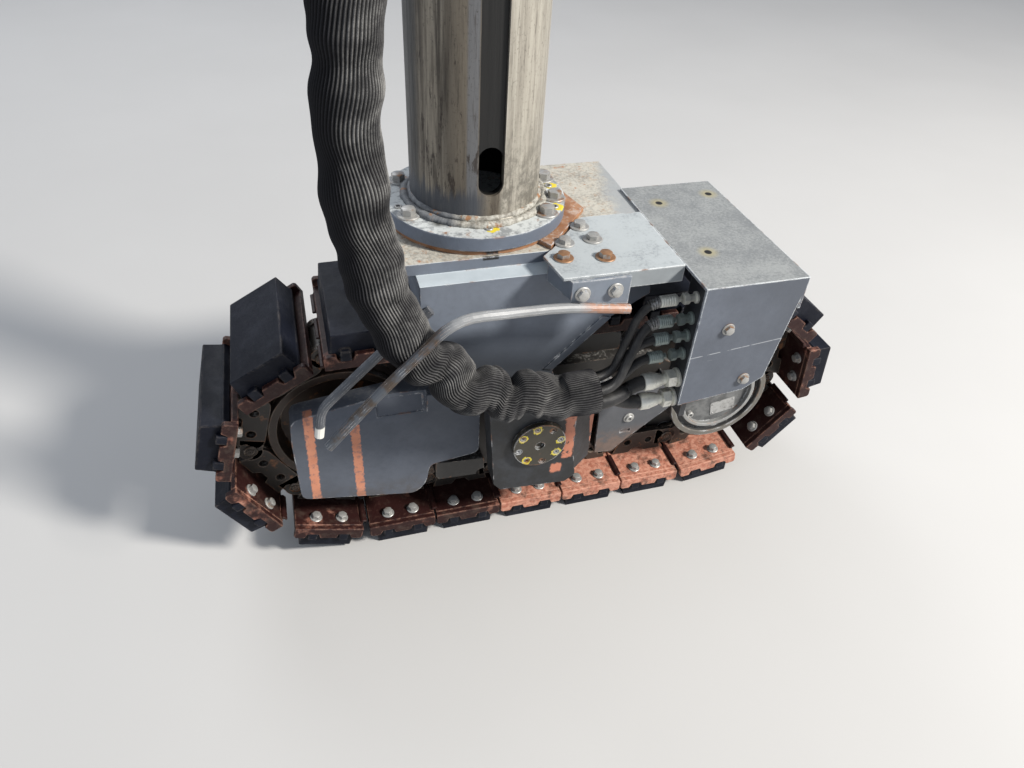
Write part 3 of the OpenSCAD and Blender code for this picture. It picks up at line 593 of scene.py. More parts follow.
def joined(*solids):
    """Several solids as one"""
    points, faces = [], []
    for more_points, more_faces in solids:
        start = len(points)
        points.extend(more_points)
        faces.extend(tuple(i + start for i in face) for face in more_faces)
    return points, faces


# Pitch of the spiral guard, half the thickness of its wire, and the length of hose under each guard
guard_pitch, guard_wire = 0.0042, 0.0013
guard_lengths = (0.027, 0.022)


def swept(line, sides, radius):
    """Tube along a line; radius is a function of the share of the way along it and the angle"""
    points, faces = [], []
    last = len(line) - 1
    for i, (along, a, b) in enumerate(frames_along(line)):
        for k in range(sides):
            turn = 2 * math.pi * k / sides
            points.append(line[i] + radius(i / last, turn) * (math.cos(turn) * a + math.sin(turn) * b))
    for i in range(last):
        faces += band(i * sides, (i + 1) * sides, sides)
    return points, [*faces, tuple(range(sides)), tuple(last * sides + k for k in range(sides))]


def spiral_guard(line, radius, length):
    """Flat steel wire wound round the last length of a hose"""
    kept = 2
    while line_length(line[-kept - 1:]) < length:
        kept += 1
    wound = smooth_line(line[-kept:], 0.0009)
    long = line_length(wound)

    def over_wire(share, turn):
        return radius + guard_wire * (1.0 + 0.9 * math.sin(2 * math.pi * share * long / guard_pitch + turn))
    return swept(wound, 20, over_wire)


spiral_finish = zinc_finish("spiral_guard_finish", rust=0.0, tone=0.34, tint=(1, 1, 1), dirt=0.8)
piece("spiral_guards", joined(*[spiral_guard(line[:-3], radius, length) for line, (height, radius), length
                                in zip(hose_lines, hose_rows, guard_lengths)]),
      "leg", spiral_finish, smooth_to=70)


# Hose fittings: crimped ferrules with a hexagon nut and a stub into the panel, turned from steel and
# zinc-plated. The top one and the two large ones are pale, those between have a green passivation.
def moved(solid, matrix):
    """A solid put in its place"""
    return [matrix @ Vector(p) for p in solid[0]], solid[1]


def hex_head(radius, height):
    """A hexagon nut or screw head on Z, its upper corners turned off by a cone"""
    points, steps = [], 36
    flat = radius * math.cos(math.pi / 6)
    top = flat * 0.88
    for level in range(3):
        for k in range(steps):
            turn = 2 * math.pi * k / steps
            six = flat / math.cos((turn + math.pi / 6) % (math.pi / 3) - math.pi / 6)
            cut = height - max(0.0, six - top) * 0.55
            r, z = ((six, 0.0), (six, cut), (top, height))[level]
            points.append(Vector((r * math.cos(turn), r * math.sin(turn), z)))
    faces = [*band(0, steps, steps), *band(steps, 2 * steps, steps)]
    return points, [*faces, tuple(range(steps)), tuple(2 * steps + k for k in range(steps))]


def pointing(place, direction, turn=0.0):
    """Puts a part made on Z at a place, with its Z along a direction"""
    stand = Vector(direction).to_track_quat("Z", "Y").to_matrix().to_4x4()
    return Matrix.Translation(Vector(place)) @ stand @ Matrix.Rotation(turn, 4, "Z")


def on_axis(outline, steps=36):
    """A body turned on Z from an open outline of (radius, height), closed at both ends"""
    return turned([(0.0008, outline[0][1]), *outline, (0.0008, outline[-1][1])], (0, 0, 0), "z", steps)


def small_ferrule(r, length):
    """Crimped in six bands on the hose, with a groove and a collar before the nut"""
    wall = r + 0.0030
    outline = [(r + 0.0005, 0.0), (wall - 0.0006, 0.0008), (wall, 0.002)]
    for k in range(5):
        z = 0.004 + k * (length - 0.011) / 5
        outline += [(wall, z), (wall - 0.0005, z + 0.0008), (wall - 0.0005, z + 0.0018), (wall, z + 0.0026)]
    return on_axis([*outline, (wall, length - 0.004), (wall - 0.0015, length - 0.002),
                    (r * 0.66, length - 0.0015), (r * 0.62, length + 0.005)])


def large_ferrule(r, length):
    """Smooth on the hose, then drawn in to a narrow neck"""
    wall = r + 0.0030
    return on_axis([(r + 0.0005, 0.0), (wall - 0.0006, 0.0008), (wall, 0.0025), (wall, length * 0.42),
                    (wall - 0.0012, length * 0.50), (wall - 0.0040, length * 0.80),
                    (wall - 0.0058, length * 0.86), (wall - 0.0065, length),
                    (r * 0.60, length + 0.0008), (r * 0.58, length + 0.006)])


panel_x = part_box("hose_panel")[0].x
pale, green = [], []
for row, (height, radius) in enumerate(hose_rows):
    large = row > 3
    start = Vector((fitting_x - 0.011 + 0.004 * (row in (1, 2)), fitting_y, height))
    grip = 0.043 if large else 0.033 if row == 0 else 0.029
    nut_r, nut_l = (radius + 0.0045, 0.0165) if large else (radius + 0.0030, 0.010)
    nut_x = panel_x - (0.024 if large else 0.026)
    stub = on_axis([(radius * 0.78, 0), (radius * 0.78, 0.004), (radius * 0.92, 0.005),
                    (radius * 0.92, 0.024)], 24)
    collar = on_axis([(nut_r * 0.80, 0), (nut_r * 1.02, 0.0008), (nut_r * 1.02, 0.0040),
                      (nut_r * 0.80, 0.0048)])
    shape = (large_ferrule if large else small_ferrule)(radius, grip)
    (pale if large or row == 0 else green).extend([
        moved(shape, pointing(start, (1, 0, 0))),
        moved(hex_head(nut_r, nut_l), pointing((nut_x, fitting_y, height), (1, 0, 0), 0.3 + 0.4 * row)),
        moved(stub, pointing((nut_x + nut_l - 0.006, fitting_y, height), (1, 0, 0))),
        moved(collar, pointing((panel_x - 0.0048, fitting_y, height), (1, 0, 0)))])
pale_zinc = zinc_finish("pale_zinc_finish", rust=0.05, tone=0.95, tint=(1.0, 0.99, 0.90), dirt=0.30)
green_zinc = zinc_finish("green_zinc_finish", rust=0.0, tone=0.42, tint=(0.86, 1.0, 0.95), dirt=0.30)
for name, crimps, finish in (("pale_hose_crimps", pale, pale_zinc), ("green_hose_crimps", green, green_zinc)):
    piece(name, joined(*crimps), "leg", finish, ["hose_fittings"], smooth_to=30)


# Fork: a deck on two legs, welded from thick plate. Slate grey paint over primer, dusty on top, rubbed
# through to pale metal along the edges, scratched, and stained with rust where water stands.
def weathered_paint(name, colour, dusty, rusty, dust=(0.50, 0.49, 0.46), rubbed=0.5,
                    rubbed_to=(0.42, 0.43, 0.44), rough=0.5, edge=0.0035, scratches=0.3, more=None):
    """Paint with its wear: dusty on top, rusty in spots, rubbed along the edges and with scratches, each
    from 0 to 1. more is a function of the finish and its colour that adds marks to it"""
    f = Finish(name)
    dark = tuple(0.78 * c for c in colour)
    light = tuple(1.18 * c for c in colour)
    clouds = f.grain(5.5, 5, 0.6)
    fine = f.grain(95, 7, 0.65)
    paint = f.mix(f.step(clouds, 0.3, 0.7), dark, light)
    paint = f.mix(f.both(f.step(fine, 0.45, 0.7), 0.30), paint, dark)
    lines = f.grain(1, 5, 0.7, f.stretched(9, 9, 260, (0.5, 0.9, 0.2)))
    more_lines = f.grain(1, 5, 0.7, f.stretched(240, 12, 10, (0.2, 0.3, 0.8)))
    scratched = f.either(f.step(lines, 0.735 - 0.05 * scratches, 0.78),
                         f.step(more_lines, 0.75 - 0.05 * scratches, 0.79))
    paint = f.mix(f.both(scratched, scratches), paint, rubbed_to)
    specks = f.speckled((22, 8, 0.7), (190, 5, 0.7))
    settled = f.both(f.upward(), f.step(specks, 0.60 - dusty * 0.45, 0.66 - dusty * 0.25))
    paint = f.mix(f.both(settled, min(1.0, dusty * 1.5)), paint, dust)
    if more:
        paint = more(f, paint)
    spots = f.grain(30, 8, 0.7)
    rust_tone = f.mix(f.grain(120, 4), (0.11, 0.045, 0.020), (0.33, 0.145, 0.06))
    rust_area = f.step(spots, 0.74 - rusty * 0.35, 0.80 - rusty * 0.25)
    paint = f.mix(rust_area, paint, rust_tone)
    chipped = f.step(f.grain(48, 6, 0.7), 0.62 - rubbed * 0.3, 0.72 - rubbed * 0.2)
    worn = f.both(f.edges(edge), chipped)
    edge_tone = f.mix(f.step(f.grain(26, 4), 0.5, 0.62), rubbed_to, rust_tone)
    paint = f.mix(worn, paint, edge_tone)
    f.set(Base_Color=paint, Roughness=f.scaled(fine, rough - 0.10, rough + 0.12))
    f.bump(f.added(f.both(fine, 0.5), f.both(worn, -0.6)), 0.0006)
    return f.material


def dress(node, finish, rounding=0.0012):
    """Gives a CAD node its finish and takes the sharpness off its edges, unless rounding is 0"""
    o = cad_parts[node]
    o.data.materials.clear()
    o.data.materials.append(finish)
    if "custom_normal" in o.data.attributes:
        o.data.attributes.remove(o.data.attributes["custom_normal"])
    if rounding:
        o.data.shade_smooth()
        weld = o.modifiers.new("closed", "WELD")
        weld.merge_threshold = 0.00002
        flat = o.modifiers.new("flat_faces", "DECIMATE")
        flat.decimate_type = "DISSOLVE"
        flat.angle_limit = math.radians(0.8)
        soften(o, rounding)


orange_paint, orange_worn, yellow_paint = (0.60, 0.25, 0.15), (0.42, 0.13, 0.075), (0.62, 0.50, 0.03)
deck_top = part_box("fork")[1].z
# A notch in the edges of deck and shim, in front of the column, painted on as a near-black patch of shade
notch_from, notch_to, notch_shade = -0.023, 0.003, (0.006, 0.005, 0.005)


def fork_marks(f, paint):
    x, y, z = (f.xyz[axis] for axis in "xyz")
    # Below the deck the paint is darkened as painted shade, and darker still in patches low down on the two
    # bosses
    paint = f.mix(f.both(f.step(z, -0.60, -0.72), 0.84), paint, (0.020, 0.023, 0.029))
    dark_patches_low = f.both(f.step(z, -0.79, -0.84), f.scaled(f.step(f.grain(20, 6, 0.7), 0.35, 0.6), 0.5, 0.9))
    paint = f.mix(dark_patches_low, paint, (0.010, 0.010, 0.010))
    # Ledge over the leg, lightened as a painted highlight, and the deck itself with its dust, specks and rust
    ledge_highlight = f.both(f.upward(0.12, 0.30), f.step(z, -0.60, -0.58), 0.92)
    paint = f.mix(ledge_highlight, paint, f.mix(f.grain(30, 5), (0.36, 0.41, 0.44), (0.50, 0.55, 0.58)))
    specks = f.step(f.speckled((26, 6, 0.7), (170, 7, 0.8), 0.3), 0.44, 0.60)
    deck = f.mix(specks, (0.435, 0.412, 0.352), (0.225, 0.210, 0.178))
    deck = f.mix(f.both(f.step(f.grain(95, 7, 0.8), 0.52, 0.66), 0.65), deck, (0.33, 0.20, 0.105))
    deck = f.mix(f.step(f.grain(34, 7, 0.75), 0.60, 0.66), deck, (0.30, 0.13, 0.055))
    # Its far right part is cleaner and bluish
    bluish = f.step(f.added(x, f.both(y, -0.25), f.both(f.grain(14, 7, 0.75), 0.08)), 0.270, 0.305)
    deck = f.mix(f.both(bluish, 0.85), deck, (0.26, 0.275, 0.285))
    paint = f.mix(f.both(f.top_at(deck_top, 0.0012, 0.0006), 0.95), paint, deck)
    # The notch, painted near-black as the shade inside it
    notch = f.both(f.between("x", notch_from, notch_to), f.step(z, -0.5165, -0.5145),
                   f.step(y, -0.150, -0.152))
    paint = f.mix(notch, paint, notch_shade)
    # Orange paint left on the boss and on the flank beside it
    torn = f.torn(f.grain(70, 5, 0.7), 0.020)
    high_dab = f.both(f.between("x", 0.139, 0.160, 0.002, torn), f.between("z", -0.962, -0.842, 0.003, torn),
                      f.step(f.grain(48, 6, 0.75), 0.59, 0.54))
    low_dab = f.both(f.between("x", 0.118, 0.140, 0.002, torn), f.between("z", -0.998, -0.975, 0.003, torn))
    on_boss = f.both(f.either(high_dab, low_dab), f.step(y, -0.150, -0.153))
    on_flank = f.both(f.between("z", -0.972, -0.893, 0.002, torn),
                      f.between("x", 0.2140, 0.2410, 0.002, f.both(f.added(z, 0.972), 0.15)),
                      f.step(f.grain(60, 6, 0.75), 0.58, 0.54), f.step(y, -0.10, -0.12))
    marks = f.both(f.either(on_boss, on_flank), 0.92)
    return f.mix(marks, paint, f.mix(f.grain(50, 5), orange_worn, orange_paint))


slate = (0.135, 0.155, 0.190)
dress("fork", weathered_paint("fork_finish", slate, dusty=0.10, rusty=0.10, more=fork_marks), 0.0025)


# Flange and shim: a turned flange that the column is welded to, on a plate that has rusted. The top
# is pale with dust, and three plugs in it are marked with yellow paint.
flange_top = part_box("flange")[1].z
flange_plugs = [(-0.0064, -0.1244), (0.1185, -0.0732), (0.132, 0.003), (-0.1326, -0.0266)]


def flange_marks(f, paint):
    dust = f.speckled((20, 6, 0.7), (120, 5, 0.7))
    pale = f.mix(f.step(dust, 0.46, 0.58), (0.50, 0.52, 0.51), (0.22, 0.23, 0.235))
    pale = f.mix(f.step(f.grain(28, 6, 0.75), 0.60, 0.67), pale, (0.26, 0.14, 0.08))
    paint = f.mix(f.both(f.top_at(flange_top), 0.95), paint, pale)
    torn = f.torn(f.grain(90, 4, 0.7), 0.022)
    for x, y in flange_plugs[:3]:
        away = f.added(f.away((x + 0.004, y, flange_top)), torn)
        paint = f.mix(f.step(away, 0.0125, 0.0105), paint, yellow_paint)
    return f.mix(f.both(f.spot((-0.079, -0.091, flange_top), 0.011, 0.7), 0.8), paint, (0.03, 0.028, 0.02))


def shim_marks(f, paint):
    # The notch, painted near-black as the shade inside it
    notch = f.both(f.between("x", notch_from, notch_to), f.step(f.xyz["y"], -0.146, -0.148))
    return f.mix(notch, paint, notch_shade)


dress("flange", weathered_paint("flange_finish", (0.120, 0.142, 0.182), dusty=0.1, rusty=0.06,
                                more=flange_marks), 0.002)
dress("shim_plate", weathered_paint("rusty_plate_finish", (0.30, 0.15, 0.075), dusty=0.3, rusty=0.8,
                                    more=shim_marks))


# Column weld: two rounds of weld metal that join the column to its flange, the lower one rougher.
# Old grey paint sticks to them on the left, and they are bare and rusty on the right.
def weld_round(middle_r, height, thick, rippled, phase):
    points, faces = [], []
    steps, sides = 420, 12
    for k in range(steps):
        a = 2 * math.pi * k / steps
        wander = 0.10 * math.sin(7 * a + phase) + 0.08 * math.sin(17 * a - 2 * phase)
        wander += 0.05 * math.sin(41 * a)
        scale = abs(math.sin(a * 74 + 0.8 * math.sin(5 * a + phase)))
        t = thick * (1 + wander + rippled * (scale - 0.5))
        m = middle_r + 0.5 * thick * wander
        for j in range(sides):
            b = 2 * math.pi * j / sides
            r = m + t * math.cos(b)
            points.append(Vector((r * math.cos(a), r * math.sin(a), height + t * 0.85 * math.sin(b))))
    for k in range(steps):
        faces += band(k * sides, (k + 1) % steps * sides, sides)
    return points, faces


def across_column(f):
    """Place across the column, from -0.1 on its left to 0.1 on its right as seen from the guard rods"""
    return f.added(f.both(f.xyz["x"], 0.97), f.both(f.xyz["y"], -0.245))


def weld_finish():
    f = Finish("column_weld_finish")
    fine = f.grain(140, 6, 0.7)
    colour = f.mix(f.step(fine, 0.35, 0.65), (0.17, 0.155, 0.13), (0.40, 0.39, 0.345))
    on_left = f.step(f.added(across_column(f), f.both(f.grain(30, 4), 0.05)), 0.015, -0.02)
    colour = f.mix(f.both(on_left, 0.85), colour, f.mix(fine, (0.060, 0.068, 0.080), (0.15, 0.16, 0.175)))
    colour = f.mix(f.step(f.grain(38, 5, 0.7), 0.58, 0.66), colour, (0.24, 0.12, 0.055))
    f.set(Base_Color=colour, Roughness=0.62)
    f.bump(fine, 0.0006)
    return f.material


piece("column_weld", joined(weld_round(0.1165, flange_top + 0.0022, 0.0068, rippled=0.12, phase=0.4),
                            weld_round(0.1060, flange_top + 0.0085, 0.0060, rippled=0.04, phase=2.1)),
      "leg", weld_finish(), smooth_to=70)


# Lifting column: a thick tube of hardened steel, bare and worn, with a key groove down its front.
# Grease and dirt have dried on it in upright streaks, darkest low down. Its left side is darkened as painted
# shade, its right side is pale bare steel lightened further as painted light, and its groove and bore are
# painted near-black as shade.
def column_finish():
    f = Finish("worn_steel_finish")
    streaks = f.grain(1, 6, 0.68, f.stretched(105, 105, 4.0))
    wide = f.grain(1, 4, 0.6, f.stretched(26, 26, 2.4))
    fine = f.grain(1, 7, 0.72, f.stretched(280, 280, 18))
    mottled = f.grain(1, 7, 0.75, f.stretched(62, 62, 15))
    across = across_column(f)
    wavy = f.added(across, f.torn(wide, 0.035))
    brown = f.mix(f.step(wide, 0.36, 0.62), (0.062, 0.052, 0.041), (0.152, 0.129, 0.099))
    dark = f.mix(f.step(streaks, 0.40, 0.62), (0.040, 0.039, 0.037), (0.100, 0.097, 0.090))
    pale = f.mix(f.step(streaks, 0.33, 0.66), (0.265, 0.243, 0.204), (0.395, 0.370, 0.315))
    # The strip at its left side is dark with streaks, as painted shade
    steel = f.mix(f.step(wavy, -0.093, -0.081), dark, brown)
    cream_band = f.both(f.step(wavy, -0.090, -0.076), f.scaled(f.step(wavy, -0.034, -0.052), 0.18, 1.0))
    cream = f.both(f.step(f.added(f.both(streaks, 0.6), f.both(wide, 0.4)), 0.44, 0.58), cream_band, 0.8)
    steel = f.mix(cream, steel, (0.335, 0.295, 0.232))
    blue_band = f.both(f.step(across, -0.014, -0.009), f.step(across, 0.007, 0.003), 0.8)
    steel = f.mix(blue_band, steel, f.mix(streaks, (0.105, 0.110, 0.122), (0.190, 0.198, 0.210)))
    # The right side is pale bare steel, lightened further as painted light
    steel = f.mix(f.step(across, 0.038, 0.044), steel, pale)
    steel = f.mix(f.both(f.step(fine, 0.52, 0.66), 0.55), steel, (0.040, 0.030, 0.022))
    steel = f.mix(f.both(f.step(f.grain(210, 6, 0.8), 0.55, 0.68), 0.6), steel, (0.042, 0.034, 0.027))
    stained = f.step(f.added(mottled, f.both(f.step(f.xyz["z"], -0.22, -0.42), 0.055)), 0.585, 0.655)
    steel = f.mix(f.both(stained, f.step(wavy, 0.045, 0.02), 0.85), steel, (0.036, 0.026, 0.020))
    low = f.added(f.xyz["z"], f.torn(streaks, 0.09))
    foot = f.both(f.step(low, -0.415, -0.440), f.step(across, 0.030, 0.0))
    steel = f.mix(f.both(foot, 0.9), steel, f.mix(streaks, (0.040, 0.046, 0.056), (0.085, 0.093, 0.108)))
    grey_low = f.both(f.step(low, -0.30, -0.43), f.step(across, 0.036, 0.044),
                      f.step(f.grain(46, 7, 0.8), 0.40, 0.60))
    steel = f.mix(f.both(grey_low, 0.85), steel, (0.125, 0.116, 0.096))
    # The inside of the key groove is painted near-black as shade
    inside = f.both(f.step(f.xyz["y"], -0.1015, -0.0995), f.step(f.from_middle("x"), 0.0205, 0.0195))
    front = f.step(f.xyz["y"], -0.08, -0.09)
    groove_shade = f.mix(streaks, (0.005, 0.005, 0.005), (0.018, 0.0175, 0.017))
    steel = f.mix(f.both(inside, front), steel, groove_shade)
    # The bore, seen through the hole at the foot of the groove, is painted near-black as shade
    from_axis = f.away((0, 0, 0), f.stretched(1, 1, 0))
    steel = f.mix(f.step(from_axis, 0.0935, 0.0925), steel, (0.006, 0.006, 0.006))
    f.set(Base_Color=steel, Metallic=0.30, Roughness=f.scaled(fine, 0.34, 0.64))
    f.bump(f.added(fine, streaks), 0.0004)
    return f.material


dress("column", column_finish(), 0.001)


# Screws in the flange and the adapter: hexagon heads on washers, zinc-plated. The tops of some have
# rusted. Four plugs with a socket close the holes between the flange screws.
def screw(place, direction, r, h, turn, washer=1.55):
    """A hexagon head of radius r and height h on its washer, which is so many times as wide"""
    head = moved(hex_head(r, h), Matrix.Translation((0, 0, r * 0.22)))
    disc = turned([(0.001, 0), (r * washer, 0), (r * washer, r * 0.16), (r * washer - 0.001, r * 0.24),
                   (0.001, r * 0.24)], (0, 0, 0), "z", 28)
    return moved(joined(disc, head), pointing(place, direction, turn))


def socket_screw(place, direction, r, h):
    """A round head with a socket, its edge turned off"""
    outline = [(r, 0), (r, h - r * 0.12), (r * 0.88, h), (r * 0.52, h), (r * 0.46, h - r * 0.5)]
    return moved(on_axis(outline, 28), pointing(place, direction))


def mark_each(o, name, values):
    """Gives each of a piece's equal parts a value for its finish"""
    share = len(o.data.vertices) // len(values)
    keep_values(o, name, [values[i // share] for i in range(len(o.data.vertices))])


zinc_bolt = zinc_finish("zinc_bolt_finish", rust=0.25, tone=0.42)
flange_bolt_r = 0.135
draw = random.Random(4)
flange_bolt_angles = [math.radians(a) for a in (13, -18, -43, -154, 150, 105, 60)]
flange_screws = piece("flange_screws", joined(*[
    screw((flange_bolt_r * math.cos(a), flange_bolt_r * math.sin(a), flange_top), (0, 0, 1), 0.012, 0.0118,
          draw.uniform(0, 1)) for a in flange_bolt_angles]),
    "leg", zinc_bolt, ["flange_bolts"], smooth_to=30)
mark_each(flange_screws, "rusted", [0.15, 0.2, 0.25, 0.0, 0.2, 0.1, 0.1])
piece("flange_plugs", joined(*[socket_screw((x, y, flange_top), (0, 0, 1), 0.0068, 0.0022)
                               for x, y in flange_plugs]), "leg", zinc_bolt, smooth_to=30)

sheet_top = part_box("adapter_plate")[1].z
adapter_bolt_places = [(0.156, -0.098), (0.1138, -0.145), (0.163, -0.142), (0.097, -0.189), (0.163, -0.199)]
adapter_screws = piece("adapter_screws", joined(*[
    screw((x, y, sheet_top), (0, 0, 1), 0.0105, 0.0085, draw.uniform(0, 1))
    for x, y in adapter_bolt_places]),
    "leg", zinc_bolt, ["adapter_bolts"], smooth_to=30)
mark_each(adapter_screws, "rusted", [0.0, 0.05, 0.1, 0.9, 1.0])


# Adapter plate, guard hood and hose panel: bent sheet steel over the hose ends, galvanised pale on the
# adapter and painted slate on the hood, whose top is bleached and scuffed. Screwed together.
hood_low, hood_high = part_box("guard_hood")
# Holes in its top, painted on as near-black discs of shade in rings of rust, in x and y,
# and screws in its near side, in x and z
hood_holes = [(0.326, -0.043), (0.333, -0.216), (0.432, -0.026)]
hood_screws = [(0.336, -0.586), (0.3935, -0.697)]


def hood_marks(f, paint):
    specks = f.speckled((12, 6, 0.7), (210, 5, 0.75), 0.45)
    bleached = f.mix(f.step(specks, 0.42, 0.58), (0.255, 0.264, 0.259), (0.160, 0.168, 0.170))
    scuffs = f.step(f.grain(1, 6, 0.75, f.stretched(16, 70, 10, (0, 0, 0.6))), 0.60, 0.70)
    bleached = f.mix(f.both(scuffs, 0.7), bleached, (0.11, 0.115, 0.12))
    paint = f.mix(f.both(f.top_at(hood_high.z), 0.96), paint, bleached)
    for x, y in hood_holes:
        centre = (x, y, hood_high.z)
        paint = f.mix(f.both(f.spot(centre, 0.014, 0.6), 0.7), paint, (0.30, 0.26, 0.14))
        # The hole itself, painted near-black as the shade inside it
        paint = f.mix(f.spot(centre, 0.0062, 0.15), paint, (0.006, 0.005, 0.004))
    line = f.both(f.between("z", -0.6655, -0.6640, 0.0006, f.both(f.xyz["x"], -0.10)),
                  f.step(f.xyz["y"], -0.310, -0.315), f.step(f.grain(60, 4), 0.42, 0.5))
    return f.mix(f.both(line, 0.7), paint, (0.40, 0.42, 0.44))


hood_paint = weathered_paint("hood_finish", (0.088, 0.100, 0.124), dusty=0.1, rusty=0.04, rubbed=1.0,
                             rubbed_to=(0.62, 0.65, 0.66), edge=0.003, scratches=0.4, more=hood_marks)
dress("guard_hood", hood_paint, 0.0022)
pale_paint = weathered_paint("adapter_finish", (0.245, 0.266, 0.278), dust=(0.375, 0.403, 0.412), dusty=0.55,
                             rusty=0.12, rubbed=0.9, rubbed_to=(0.60, 0.62, 0.62), scratches=0.5)
dress("adapter_plate", pale_paint)
dress("hose_panel", weathered_paint("hose_panel_finish", (0.030, 0.032, 0.036), dusty=0.2, rusty=0.1))
hood_heads = piece("hood_screws", joined(*[screw((x, hood_low.y, z), (0, -1, 0), 0.0080, 0.0060, 0.2, 1.35)
                                           for x, z in hood_screws]),
                   "leg", zinc_bolt, smooth_to=30)
mark_each(hood_heads, "rusted", [0.95, 0.55])


# Rod bracket and guard rods: round bars that keep the sleeve off the track. The paint is rubbed off
# where it chafes, the right end has rusted, and the inner bar ends in a pale plastic stub.
def outer_rod_marks(f, paint):
    left_end = f.mix(f.step(f.grain(30, 5), 0.42, 0.58), (0.060, 0.068, 0.080), (0.045, 0.032, 0.023))
    paint = f.mix(f.step(f.xyz["x"], -0.125, -0.085), left_end, paint)
    rust = f.both(f.step(f.xyz["x"], 0.10, 0.135), f.step(f.grain(70, 5, 0.7), 0.38, 0.52))
    return f.mix(rust, paint, f.mix(f.grain(90, 4), (0.24, 0.105, 0.055), (0.38, 0.22, 0.16)))


def inner_rod_marks(f, paint):
    return f.mix(f.step(f.xyz["z"], -0.770, -0.7735), paint, (0.66, 0.65, 0.60))


bracket_screws = [(0.109, -0.2512, -0.532), (0.163, -0.2512, -0.532)]
dress("rod_bracket", weathered_paint("rod_bracket_finish", (0.150, 0.172, 0.205), dusty=0.3, rusty=0.15,
                                     rubbed=0.8))
pale_bolt = zinc_finish("bracket_bolt_finish", rust=0.0, tone=0.48, dirt=0.5)
piece("rod_bracket_screws", joined(*[screw(place, (0, -1, 0), 0.0092, 0.0075, 0.35, 1.40)
                                     for place in bracket_screws]),
      "leg", pale_bolt, smooth_to=30)
dress("guard_rod_outer", weathered_paint("outer_rod_finish", (0.235, 0.24, 0.245), dusty=0.2, rusty=0.22,
                                         rubbed=0.6, rubbed_to=(0.55, 0.55, 0.55), edge=0.001,
                                         more=outer_rod_marks), 0)
dress("guard_rod_inner", weathered_paint("worn_rod_finish", (0.065, 0.070, 0.080), dusty=0.3, rusty=0.25,
                                         rubbed=0.6, edge=0.001, more=inner_rod_marks), 0)


# Pivot: the steel pin that the whole track swings on. A turned cap closes it at each end, held by eight
# socket screws, and yellow paint marks most of these.
cap_low, cap_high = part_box("pivot_caps")
cap_x, cap_z = (cap_low.x + cap_high.x) / 2, (cap_low.z + cap_high.z) / 2
cap_screw_r, cap_screws = 0.042, 8
marked_screws = (0, 2, 3, 5, 7)
cap_angles = [math.radians(i * 360 / cap_screws + 10) for i in range(cap_screws)]
cap_places = [(cap_x + cap_screw_r * math.cos(a), cap_z + cap_screw_r * math.sin(a)) for a in cap_angles]


def cap_marks(f, paint):
    torn = f.torn(f.grain(110, 4, 0.7), 0.016)
    near = f.step(f.xyz["y"], cap_low.y + 0.004, cap_low.y + 0.002)
    for x, z in (cap_places[i] for i in marked_screws):
        away = f.added(f.away((x, cap_low.y, z)), torn)
        paint = f.mix(f.both(near, f.step(away, 0.0100, 0.0085), 0.8), paint, yellow_paint)
    return paint


cap_steel = weathered_paint("cap_steel_finish", (0.033, 0.029, 0.021), dusty=0.2, rusty=0.25, rubbed=0.8,
                            more=cap_marks)
dress("pivot_caps", cap_steel)
dark_steel = weathered_paint("dark_steel_finish", (0.030, 0.026, 0.023), dusty=0.15, rusty=0.4, rubbed=0.9)
piece("pivot_cap_screws", joined(*[
    socket_screw((x, side * (cap_high.y - 0.006), z), (0, side, 0), 0.0056, 0.0052)
    for x, z in cap_places for side in (-1, 1)]), "leg", dark_steel, smooth_to=30)
dress("pivot_pin", dark_steel)


# Track frame and its side covers: box sections of folded plate. The near cover has two stripes of
# orange paint down its face, worn thin, and its upper edge leans in.
dress("track_frame", weathered_paint("frame_grey_finish", (0.030, 0.028, 0.026), dusty=0.25, rusty=0.30,
                                     rubbed_to=(0.2, 0.17, 0.14)))
cover_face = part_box("side_cover_near")[0].y
# Each stripe: its middle along the track, its lean, its lower and its upper end
stripes = ((-0.3250, 0.0364, -1.030, -0.8055), (-0.2460, 0.0158, -1.040, -0.8440))
stripe_half_w = 0.0082


def cover_marks(f, paint):
    near = f.step(f.xyz["y"], cover_face + 0.030, cover_face + 0.025)
    torn = f.torn(f.grain(130, 5, 0.75), 0.012)
    thin = f.scaled(f.step(f.grain(75, 6, 0.75), 0.60, 0.52), 0.5, 1.0)
    for middle, lean, low, high in stripes:
        shift = f.added(torn, f.both(f.added(f.xyz["z"], 0.82), -lean))
        stripe = f.both(f.between("x", middle - stripe_half_w, middle + stripe_half_w, 0.0008, shift),
                        f.between("z", low, high, 0.002, torn), near, thin)
        paint = f.mix(stripe, paint, f.mix(f.grain(40, 5), (0.43, 0.155, 0.085), (0.58, 0.26, 0.160)))
    mud = f.both(f.step(f.xyz["z"], -0.98, -1.04), f.step(f.grain(24, 6, 0.7), 0.40, 0.60))
    return f.mix(f.both(mud, 0.5), paint, (0.060, 0.050, 0.042))


cover_paint = weathered_paint("side_cover_finish", (0.077, 0.087, 0.108), dust=(0.20, 0.20, 0.20),
                              dusty=0.25, rusty=0.08, rubbed=0.6, rough=0.72, scratches=0.45,
                              more=cover_marks)
dress("side_cover_near", cover_paint, 0.003)
dress("side_cover_far", cover_paint, 0.003)


# Drive: a planetary gearbox with its motor in the sprocket, behind a ring of folded plate. A blank
# rating plate is riveted to its face, and a sheet guard is screwed on beside it.
casing_low, casing_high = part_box("drive_casing")
drive_x, drive_z = (casing_low.x + casing_high.x) / 2, (casing_low.z + casing_high.z) / 2
# The face inside the ring, which carries the rating plate
drive_face = -0.1175


